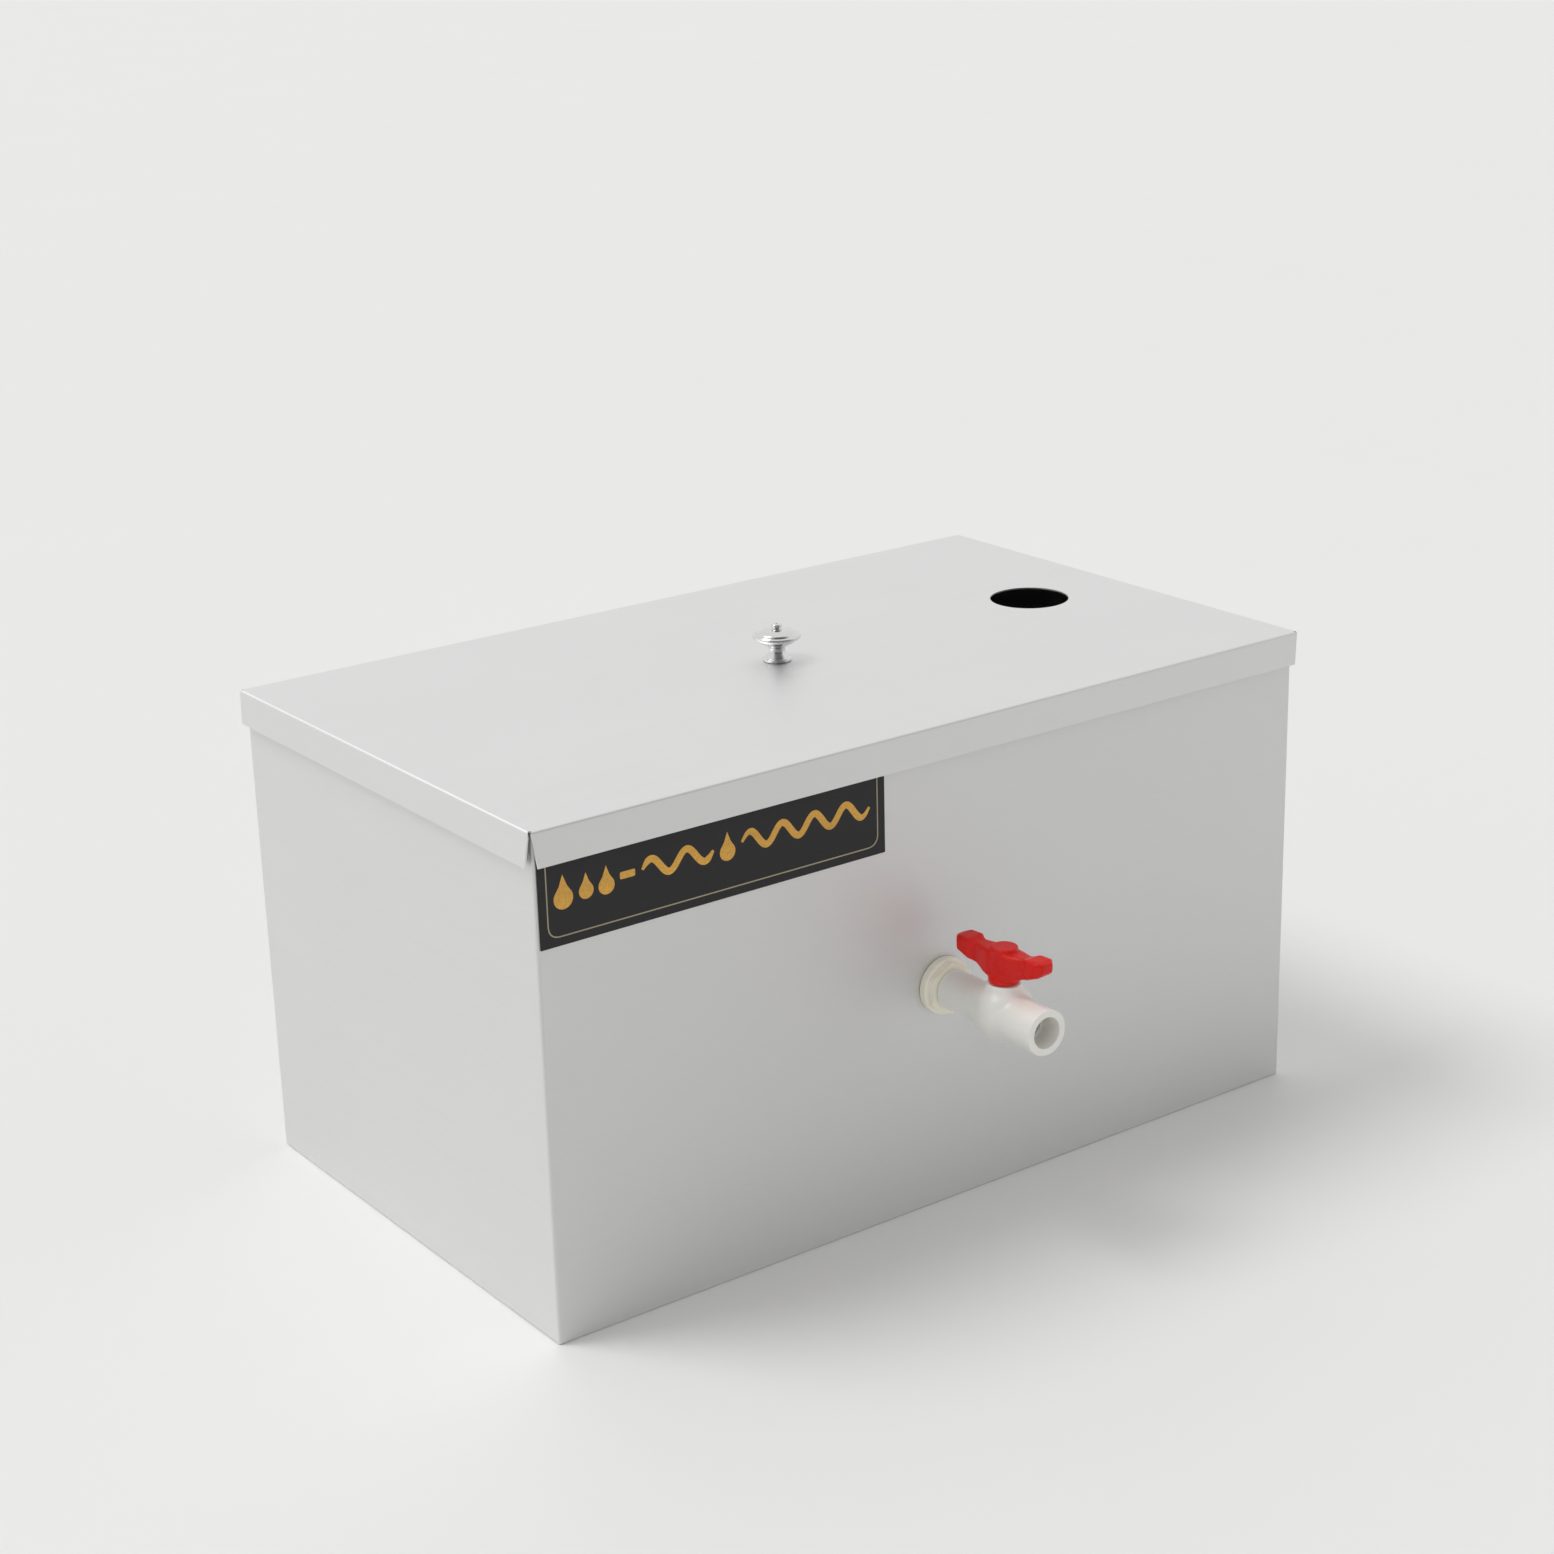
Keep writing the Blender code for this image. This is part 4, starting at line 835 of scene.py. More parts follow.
@dataclass
class LidKnob(SubAssembly):
    """Turned mushroom knob with a small button on top, screwed on from below."""

    seat: float = 0.3253
    base: float = 0.0095
    foot: float = 0.0014
    waist: float = 0.0055
    waist_low: float = 0.0062
    waist_top: float = 0.0088
    cap: float = 0.0161
    cap_height: float = 0.0168
    lip: float = 0.0021
    dome_height: float = 0.0214
    height: float = 0.0246
    button: float = 0.0036
    button_neck: float = 0.0026
    button_depth: float = 0.0026
    crown: float = 0.0050
    shoulder: float = 0.0088
    shoulder_drop: float = 0.0004
    edge: float = 0.0006
    screw_hole: float = SCREW_HOLE
    grip: float = 0.0100

    def build(self) -> None:
        """Turns the knob and dresses its fastener."""
        edge = self.edge
        button_low = self.height - self.button_depth
        corners = [
            (self.screw_hole, 0.0, 0.0002),
            (self.base, 0.0, 0.0003),
            (self.base, self.foot, 0.0005),
            (self.base - 2 * edge, self.foot + edge, 0.0010),
            (self.waist + 2 * edge, self.waist_low - 3 * edge, 0.0030),
            (self.waist, self.waist_low, 0.0040),
            (self.waist, self.waist_top, 0.0030),
            (self.waist + 3 * edge, self.waist_top + 2 * edge, 0.0030),
            (self.cap - 7 * edge, self.cap_height - 7 * edge, 0.0040),
            (self.cap - self.lip, self.cap_height - 4 * edge, 0.0010),
            (self.cap - self.lip + edge / 2, self.cap_height - 3 * edge, 0.0002),
            (self.cap - edge, self.cap_height - 3 * edge, 0.0006),
            (self.cap, self.cap_height - edge, 0.0008),
            (self.cap, self.cap_height + edge, 0.0008),
            (self.cap - 2 * edge, self.cap_height + 2 * edge, 0.0008),
            (self.cap - self.lip, self.cap_height + edge, 0.0005),
            (self.cap - self.lip - 2 * edge, self.cap_height + 4 * edge, 0.0020),
            (self.shoulder, self.dome_height - self.shoulder_drop, 0.0060),
            (self.crown, self.dome_height, 0.0030),
            (self.button_neck, self.dome_height, 0.0006),
            (self.button_neck, button_low, 0.0004),
            (self.button, button_low + edge, 0.0006),
            (self.button, self.height, 0.0010),
            (edge, self.height, 0.0),
            (edge, self.grip, 0.0),
            (self.screw_hole, self.grip, 0.0),
        ]
        turned = lathe(soften(corners), Sides.KNOB)
        place = Matrix.Translation((0, 0, self.seat))
        self.add("knob", turned, CHROME, stands_for=["lid_knob"], place=place, crease=50)
        self.dress("lid_knob_washer", FASTENER_STEEL)
        self.dress("lid_knob_screw", FASTENER_STEEL)


@dataclass
class FrontLabel(SubAssembly):
    """Dark film on the front wall with a thin line round it and a gold motif of drops and ripples."""

    left: float = -0.298
    length: float = 0.248
    top: float = 0.3070
    height: float = 0.055
    back: float = -0.1753
    thickness: float = 0.0005
    ink: float = 0.00006
    line_inset: float = 0.0052
    line_width: float = 0.0008
    line_corner: float = 0.0085
    motif_middle: float = 0.2840
    motif_height: float = 0.0200
    wave_height: float = 0.0054
    stroke: float = 0.0044
    drops: tuple[Pair, ...] = ((0.048, 1.05), (0.113, 0.80), (0.171, 0.88), (0.528, 0.90))
    ripples: tuple[tuple[float, float, int], ...] = ((0.275, 0.485, 2), (0.572, 0.972, 4))
    dash_start: float = 0.210
    dash_length: float = 0.0105
    film_corner: float = 0.0004

    def plaque(self, outline: Sequence[Pair], out: float, thickness: float) -> Builder:
        """A flat shape on the front wall, so far out from the film's back and so thick."""
        y = self.back - out
        return skin([upright_ring(outline, level) for level in (y, y - thickness)])

    def border(self) -> Builder:
        """The thin line inside the film's edge, whose top runs on under the lid's skirt."""
        rings = []
        back = self.back - self.thickness
        front = back - self.ink
        for width, y in ((0.0, back), (0.0, front), (self.line_width, front), (self.line_width, back)):
            left = self.left + self.line_inset + width
            right = self.left + self.length - self.line_inset - width
            low = self.top - self.height + self.line_inset + width
            high = self.top - FIT - width
            corner = self.line_corner - width
            corners = [(left, low, corner), (right, low, corner), (right, high, 0.0), (left, high, 0.0)]
            rings.append(upright_ring(soften(corners, steps=12), y))
        return skin(rings, loop=True)

    def drop(self, centre: float, scale: float) -> list[Pair]:
        """Outline of a drop with its point up, as high as the motif times the scale."""
        size = self.motif_height * scale
        radius = 0.31 * size
        low = self.motif_middle - size / 2 + radius
        outline = arc((centre, low), radius, 150, 390, 24)
        neck, neck_z = 0.42 * radius, low + 1.15 * radius
        tip = (centre, self.motif_middle + size / 2)
        return outline + [(centre + neck, neck_z), tip, (centre - neck, neck_z)]

    def ripple(self, start: float, end: float, waves: int) -> list[Pair]:
        """Outline of a wavy stroke from start to end with thin ends."""
        steps = 20 * waves
        pace = math.tau * waves / (end - start)
        upper = []
        lower = []
        for index in range(steps + 1):
            share = index / steps
            x = start + (end - start) * share
            z = self.motif_middle + self.wave_height * math.sin(pace * (x - start))
            across = Vector((-self.wave_height * pace * math.cos(pace * (x - start)), 1.0)).normalized()
            half = self.stroke / 2 * min(1.0, 0.4 + 8 * share, 0.4 + 8 * (1 - share))
            upper.append((x + half * across.x, z + half * across.y))
            lower.append((x - half * across.x, z - half * across.y))
        return upper + list(reversed(lower))

    def build(self) -> None:
        """Makes the film and its print."""
        left, right = self.left, self.left + self.length
        low, high = self.top - self.height, self.top
        outline = soften(box(left, right, low, high, self.film_corner))
        film = self.plaque(outline, 0.0, self.thickness)
        self.add("film", film, FILM, stands_for=["label_plate"])
        self.add("film_line", self.border(), LINE_INK)
        width = self.length - 2 * self.line_inset
        start = left + self.line_inset
        shapes = [self.drop(start + share * width, scale) for share, scale in self.drops]
        half = self.stroke / 2
        left = start + self.dash_start * width
        right = left + self.dash_length
        low, high = self.motif_middle - half, self.motif_middle + half
        shapes.append(soften(box(left, right, low, high, half / 2)))
        for first, last, waves in self.ripples:
            shapes.append(self.ripple(start + first * width, start + last * width, waves))
        pieces = [self.plaque(shape, self.thickness, self.ink) for shape in shapes]
        self.add("film_motif", merged(pieces), GOLD_INK)


@dataclass
class DrainValve(SubAssembly):
    """Quarter-turn ball valve on its bulkhead fitting in the front wall."""

    x: float = VALVE_X
    z: float = VALVE_Z
    wall: float = -TANK_DEPTH / 2
    sheet: float = SHEET
    gasket: float = 0.0150
    gasket_back: float = 0.0003
    gasket_front: float = 0.0023
    flange_back: float = 0.0026
    disc_front: float = 0.0058
    flange_front: float = 0.0100
    flange: float = 0.0188
    hexagon: float = 0.0155
    hexagon_corner: float = 0.0030
    hexagon_edge: float = 0.0007
    thread: float = 0.0130
    thread_pitch: float = 0.0018
    thread_depth: float = 0.0008
    inside: float = 0.0150
    nipple: float = 0.0095
    nipple_bore: float = 0.00725
    body_start: float = 0.0103
    socket: float = 0.0098
    socket_depth: float = 0.0150
    bore: float = 0.0075
    tube: float = 0.0149
    inner_tube: float = 0.0131
    step_start: float = 0.0240
    step_end: float = 0.0130
    bulge: float = 0.0034
    bulge_half: float = 0.0190
    stem: float = 0.0596
    reach: float = 0.0996
    neck: float = 0.0110
    neck_height: float = 0.0208
    neck_root: Corner = (0.0180, 0.004, 0.0)
    neck_shoulder: Corner = (0.0165, 0.0125, 0.004)
    neck_throat: Corner = (0.0122, 0.0165, 0.004)
    stem_hole: float = 0.0053
    voxel: float = 0.0005
    ball: float = 0.0120
    seat: float = 0.0130
    seat_back: float = 0.0140
    seat_front: float = 0.0056

    @property
    def place(self) -> Matrix:
        """Where pieces go that are turned about the pipe's axis."""
        return wall_place(Wall.FRONT, self.x, self.z)

    @property
    def stem_place(self) -> Matrix:
        """Where pieces go that are turned about the stem."""
        return Matrix.Translation((self.x, self.wall - self.stem, self.z))

    def mounting(self) -> None:
        """Bulkhead fitting, gasket and locknut."""
        inside = -self.sheet - self.inside
        gasket = washer(
            self.thread + FIT, self.gasket, self.gasket_back, self.gasket_front, 0.0004, Sides.BODY
        )
        self.add("gasket", gasket, SEAL, stands_for=["valve_gasket"], place=self.place)
        corners: list[Corner] = [
            (self.nipple_bore, inside, 0.0004),
            (self.thread - self.thread_depth, inside, 0.0),
        ]
        span = (inside + 0.0006, -self.sheet)
        corners += thread(self.thread, self.thread_depth, self.thread_pitch, span, 0.0001)
        nipple_end = self.body_start + self.socket_depth - 0.0006
        corners += [
            (self.thread, -self.sheet, 0.0),
            (self.thread, self.flange_back, 0.0003),
            (self.gasket + FIT, self.flange_back, 0.0002),
            (self.gasket + FIT, self.gasket_back, 0.0002),
            (self.flange, self.gasket_back, 0.0004),
            (self.flange, self.disc_front, 0.0013),
            (self.nipple, self.disc_front, 0.0003),
            (self.nipple, nipple_end, 0.0003),
            (self.nipple_bore, nipple_end, 0.0003),
        ]
        disc = lathe(soften(corners, steps=4), Sides.PIPE)
        flange = merged([disc, self.hexagon_collar()])
        self.add("flange", flange, CREAM, stands_for=["valve_flange"], place=self.place)
        self.dress("valve_locknut", CREAM)

    def hexagon_collar(self) -> Builder:
        """The fitting's hexagon in front of its disc, with round corners and a soft front edge."""
        corner = self.hexagon / math.cos(math.radians(30))
        edge = self.hexagon_edge
        back = self.disc_front + 0.0001
        front = self.flange_front

        def ring(inset: float, z: float) -> Ring:
            """The hexagon's outline at a height."""
            reach = corner - inset
            outline = []
            for index in range(6):
                angle = math.radians(60 * index + 30)
                outline.append((reach * math.cos(angle), reach * math.sin(angle), self.hexagon_corner))
            return flat_ring(soften(outline, steps=6), z)

        rings = [ring(0.0, back), ring(0.0, front - edge)]
        rings += [ring(0.3 * edge, front - 0.3 * edge), ring(edge, front)]
        hole = [Vector((point.x, point.y, 0)).normalized() * (self.nipple + 0.0002) for point in rings[0]]
        rings += [[point + Vector((0, 0, z)) for point in hole] for z in (front, back)]
        return skin(rings, loop=True)

    def outer_radius(self, offset: float) -> float:
        """Outer radius of the body at a distance from the stem along the pipe."""
        share = (offset + self.step_start) / (self.step_start - self.step_end)
        share = min(1.0, max(0.0, share))
        radius = self.inner_tube + (self.tube - self.inner_tube) * share * share * (3 - 2 * share)
        if abs(offset) < self.bulge_half:
            radius += self.bulge * (0.5 + 0.5 * math.cos(math.pi * offset / self.bulge_half))
        return radius

    def body(self) -> None:
        """Moulded body with its neck, bored out for the ball, the pipe ends and the stem."""
        steps = 60
        length = self.reach - self.body_start
        stations = [self.body_start + length * index / steps for index in range(steps + 1)]
        tube = lathe([(self.outer_radius(s - self.stem), s) for s in stations], Sides.BODY, loop=False)
        tube.transform(self.place)
        neck_corners = [
            self.neck_root,
            self.neck_shoulder,
            self.neck_throat,
            (self.neck, self.neck_height - 0.002, 0.001),
            (self.neck, self.neck_height, 0.0),
        ]
        neck = lathe(soften(neck_corners, closed=False), Sides.BODY, loop=False)
        neck.transform(self.stem_place)
        moulded = melted(merged([tube, neck]), self.voxel)
        half = self.seat_back + FIT
        chamber = self.seat + FIT

        def mouth(end: float, inwards: int) -> list[Pair]:
            """The bore's profile from one end of the body to the ball's chamber."""
            return [
                (self.socket + 0.0012, end - inwards * 0.004),
                (self.socket + 0.0006, end - inwards * 0.0001),
                (self.socket, end + inwards * 0.0008),
                (self.socket, end + inwards * self.socket_depth),
                (self.bore, end + inwards * self.socket_depth),
                (self.bore, self.stem - inwards * half),
                (chamber, self.stem - inwards * half),
            ]

        cavity = mouth(self.body_start, 1) + mouth(self.reach, -1)[::-1]
        bore = lathe(cavity, Sides.BODY, loop=False)
        bore.transform(self.place)
        stem_hole = cylinder(self.stem_hole, 0.0, self.neck_height + 0.005, Sides.STEM)
        stem_hole.transform(self.stem_place)
        self.add("body", carved(moulded, [bore, stem_hole]), WHITE, stands_for=["valve_body"], crease=40)

    def seats(self) -> None:
        """The two rings that the ball turns in."""
        cup = self.ball + FIT
        inner = self.bore + FIT
        first = math.degrees(math.asin(self.seat_front / cup))
        last = math.degrees(math.acos(inner / cup))
        for name, direction in (("inner", -1), ("outer", 1)):
            profile = [(self.seat, self.seat_back), (self.seat, self.seat_front)]
            profile += arc((0.0, 0.0), cup, first, last, 10)
            profile += [(inner, self.seat_back)]
            placed = [(r, self.stem + direction * z) for r, z in profile]
            ring = lathe(placed, Sides.RING)
            self.add(f"seat_{name}", ring, SEAT_WHITE, stands_for=[f"valve_seat_{name}"], place=self.place)

    def build(self) -> None:
        """Makes the fitting, the body and what sits in it."""
        self.mounting()
        self.body()
        self.seats()
        ValvePlug(self.x, self.wall - self.stem, self.z).build()


@dataclass
class ValvePlug(SubAssembly):
    """The valve's turning pieces: ball, stem, seal and bow-tie handle."""

    x: float
    y: float
    z: float
    rest_turn: float = math.radians(5)
    ball_radius: float = 0.0120
    bore: float = 0.0075
    slot_width: float = 0.0046
    slot_depth: float = 0.0030
    handle_base: float = 0.0214
    handle_top: float = 0.0446
    base_radius: float = 0.0098
    top_radius: float = 0.0088
    waist_radius: float = 0.0084
    wing_reach: float = 0.0371
    pad_start: float = 0.0250
    pad_half: float = 0.0075
    pad_thickness: float = 0.0086
    tip_cut: float = 0.0034
    web_half: float = 0.0050
    root_lift: float = 0.0034
    socket: float = 0.0076
    socket_depth: float = 0.0133
    voxel: float = 0.0004

    @property
    def place(self) -> Matrix:
        """The stem's axis, turned as the valve stands."""
        return Matrix.Translation((self.x, self.y, self.z)) @ Matrix.Rotation(self.rest_turn, 4, "Z")

    def wing_section(self, reach: float, half: float, low: float, high: float) -> Ring:
        """Rounded rectangle across a wing."""
        rounding = min(0.0022, 0.45 * half)
        corners = [(x, z, rounding) for x, z in ((half, high), (-half, high), (-half, low), (half, low))]
        return upright_ring(soften(corners, steps=3), -reach)

    def wing(self, turn: float) -> Builder:
        """One wing: a web that rises from the hub to a wide end pad.

        Args:
            turn: Its angle about the stem.

        Returns:
            Its mesh, lofted through stations that give the reach, the half width, how far the top is sunk
            and how far the underside is lifted.
        """
        high = self.handle_top - 0.0004
        low = self.handle_base + self.root_lift
        slope = (high - self.pad_thickness - low) / (self.wing_reach - self.base_radius)
        stations = (
            (0.0020, 0.0080, 0.0020, 0.0),
            (0.0080, 0.0080, 0.0020, 0.0),
            (0.0120, 0.0070, 0.0019, 0.0),
            (0.0160, self.web_half + 0.0008, 0.0018, 0.0),
            (0.0195, self.web_half, 0.0017, 0.0),
            (0.0222, self.web_half + 0.0008, 0.0010, 0.0),
            (self.pad_start, self.pad_half, 0.0, 0.0),
            (self.wing_reach - self.tip_cut, self.pad_half, 0.0, 0.0),
            (self.wing_reach, self.pad_half - self.tip_cut, 0.0010, 0.0016),
        )
        rings = []
        for reach, half, sink, lift in stations:
            bottom = low + slope * max(0.0, reach - self.base_radius) + lift
            rings.append(self.wing_section(reach, half, bottom, high - sink))
        wing = skin(rings)
        wing.transform(Matrix.Rotation(turn, 4, "Z"))
        return wing

    def handle(self) -> None:
        """Hub and wings in one moulding."""
        base, top = self.handle_base, self.handle_top
        corners = [
            (0.0, base, 0.0),
            (self.base_radius, base, 0.0006),
            (self.base_radius, base + 0.0034, 0.0010),
            (self.waist_radius, base + 0.0064, 0.0020),
            (self.waist_radius, top - 0.0050, 0.0020),
            (self.top_radius, top - 0.0034, 0.0010),
            (self.top_radius, top, 0.0009),
            (0.0, top, 0.0),
        ]
        profile = [(max(r, 0.0004), z) for r, z in soften(corners, closed=False)]
        hub = lathe(profile, Sides.RING, loop=False)
        moulded = melted(merged([hub, self.wing(0.0), self.wing(math.pi)]), self.voxel)
        half = self.socket / 2
        square = prism(rectangle(half, half), base - 0.004, base + self.socket_depth)
        handle = carved(moulded, [square])
        self.add("handle", handle, RED, Body.VALVE_PLUG, ["valve_handle"], self.place, crease=45)

    def ball(self) -> None:
        """Ball with its bore and the stem's slot."""
        last = math.degrees(math.acos(self.bore / self.ball_radius))
        turned = lathe(arc((0.0, 0.0), self.ball_radius, -last, last, 28), Sides.BODY)
        turned.transform(Matrix.Rotation(math.radians(90), 4, "X"))
        outline = rectangle(self.ball_radius, self.slot_width / 2)
        slot = prism(outline, self.ball_radius - self.slot_depth, self.ball_radius + 0.003)
        self.add("ball", carved(turned, [slot]), WHITE, Body.VALVE_PLUG, ["valve_ball"], self.place)

    def build(self) -> None:
        """Makes the handle and the ball, and dresses the stem and its seal."""
        self.handle()
        self.ball()
        self.dress("valve_stem", WHITE)
        self.dress("valve_stem_o_ring", SEAL)


@dataclass
class PipeOutlet(SubAssembly):
    """Pipe fitting in the rear wall with its nut, and the elbow and drop pipe inside the tank."""

    x: float = OUTLET_X
    z: float = OUTLET_Z
    wall: float = TANK_DEPTH / 2
    sheet: float = SHEET
    pipe: float = 0.0250
    bore: float = 0.0220
    flange: float = 0.0390
    flange_back: float = 0.0036
    flange_front: float = 0.0086
    spigot: float = 0.0450
    thread: float = 0.0285
    thread_pitch: float = 0.0024
    thread_depth: float = 0.0011
    seal: float = 0.0370
    seal_front: float = 0.0033
    inside: float = 0.0160
    inner_spigot: float = 0.0240
    nut: float = 0.0370
    nut_thickness: float = 0.0100
    nut_lug: float = 0.0040
    lugs: int = 8
    elbow_wall: float = 0.0030
    elbow_bend: float = 0.0360
    elbow_socket: float = 0.0220
    drop_bottom: float = 0.0560

    @property
    def place(self) -> Matrix:
        """Where pieces go that are turned about the outlet's axis."""
        return wall_place(Wall.REAR, self.x, self.z)

    def fitting(self) -> None:
        """Flanged pipe end with its gasket."""
        inside = -self.sheet - self.inside
        seal = washer(self.thread + FIT, self.seal, FIT, self.seal_front, 0.0008, Sides.PIPE)
        self.add("outlet_seal", seal, SEAL, stands_for=["outlet_gasket"], place=self.place)
        front = self.flange_front
        corners: list[Corner] = [
            (self.bore, inside - self.inner_spigot, 0.0004),
            (self.pipe, inside - self.inner_spigot, 0.0008),
            (self.pipe, inside, 0.0003),
        ]
        span = (inside + 0.0004, -self.sheet - 0.0002)
        corners += thread(self.thread, self.thread_depth, self.thread_pitch, span, 0.0002)
        corners += [
            (self.thread, -self.sheet, 0.0),
            (self.thread, self.flange_back, 0.0003),
            (self.flange, self.flange_back, 0.0006),
            (self.flange, front, 0.0012),
            (self.flange - 0.0035, front, 0.0006),
            (self.flange - 0.0042, front - 0.0012, 0.0006),
            (self.pipe + 0.0030, front - 0.0012, 0.0010),
            (self.pipe + 0.0012, front + 0.0030, 0.0016),
            (self.pipe, front + 0.0060, 0.0030),
            (self.pipe, front + self.spigot, 0.0010),
            (self.bore, front + self.spigot, 0.0006),
        ]
        pipe = lathe(soften(corners, steps=4), Sides.PIPE)
        self.add("outlet_pipe", pipe, GREY, stands_for=["outlet_fitting"], place=self.place)

    def lugged_nut(self) -> None:
        """Locknut with grip lugs, inside the tank."""
        steps = 24 * self.lugs
        top = -self.sheet - FIT
        low = top - self.nut_thickness
        edge = 0.0008
        rings = []
        for inset, z in ((edge, low), (0.0, low + edge), (0.0, top - edge), (edge, top)):
            ring = []
            for index in range(steps):
                angle = math.tau * index / steps
                wave = 0.5 + 0.5 * math.tanh(4 * math.sin(self.lugs * angle))
                radius = self.nut - self.nut_lug * wave - inset
                ring.append(Vector((radius * math.cos(angle), radius * math.sin(angle), z)))
            rings.append(ring)
        rings += [circle(self.thread + FIT, z, steps) for z in (top, low)]
        nut = skin(rings, loop=True)
        self.add("outlet_nut", nut, GREY, stands_for=["outlet_locknut"], place=self.place)

    def elbow(self) -> None:
        """Quarter bend with a raised band round each socket, and the drop pipe."""
        across = Vector((1, 0, 0))
        socket = self.pipe + FIT
        outer = socket + self.elbow_wall
        start = self.wall - self.sheet - self.inside - FIT
        shoulder = start - self.inner_spigot - FIT
        centre_y = shoulder - FIT - 0.001
        centre_z = self.z - self.elbow_bend
        drop_y = centre_y - self.elbow_bend
        low = centre_z - 0.001
        back = Vector((0, -1, 0))
        down = Vector((0, 0, -1))

        def level(y: float, radius: float) -> Station:
            """A circle of the level arm."""
            return Vector((self.x, y, self.z)), back, radius

        def upright(z: float, radius: float) -> Station:
            """A circle of the upright arm."""
            return Vector((self.x, drop_y, z)), down, radius

        def bend(radius: float) -> list[Station]:
            """Circles round the quarter bend."""
            steps = 20
            stations = []
            for index in range(steps + 1):
                angle = math.radians(90 + 90 * index / steps)
                y = centre_y + self.elbow_bend * math.cos(angle)
                z = centre_z + self.elbow_bend * math.sin(angle)
                ahead = Vector((0, -math.sin(angle), math.cos(angle)))
                stations.append((Vector((self.x, y, z)), ahead, radius))
            return stations

        end = low - FIT - self.elbow_socket
        edge = 0.0007
        outside = [level(start, outer - edge), level(start - edge, outer)]
        outside += [level(shoulder + 0.001, outer), level(shoulder - 0.0004, outer - edge)]
        outside += bend(outer - edge)
        outside += [upright(low - 0.0004, outer - edge), upright(low - 0.0018, outer)]
        outside += [upright(end + edge, outer), upright(end, outer - edge)]
        within = [level(start, socket), level(shoulder, socket), level(shoulder - FIT, self.bore)]
        within += bend(self.bore)
        within += [upright(low, self.bore), upright(low - FIT, socket), upright(end, socket)]
        rings = sweep(outside, across, Sides.RING) + sweep(within, across, Sides.RING)[::-1]
        self.add("outlet_bend", skin(rings, loop=True), GREY, stands_for=["outlet_elbow"])
        top = low - 2 * FIT
        corners = [
            (self.bore, self.drop_bottom, 0.0006),
            (self.pipe, self.drop_bottom, 0.0008),
            (self.pipe, top, 0.0003),
            (self.bore, top, 0.0003),
        ]
        place = Matrix.Translation((self.x, drop_y, 0))
        pipe = lathe(soften(corners), Sides.BODY)
        self.add("drop_pipe", pipe, GREY, stands_for=["outlet_drop_pipe"], place=place)

    def build(self) -> None:
        """Makes the fitting, the nut, the elbow and the drop pipe."""
        self.fitting()
        self.lugged_nut()
        self.elbow()


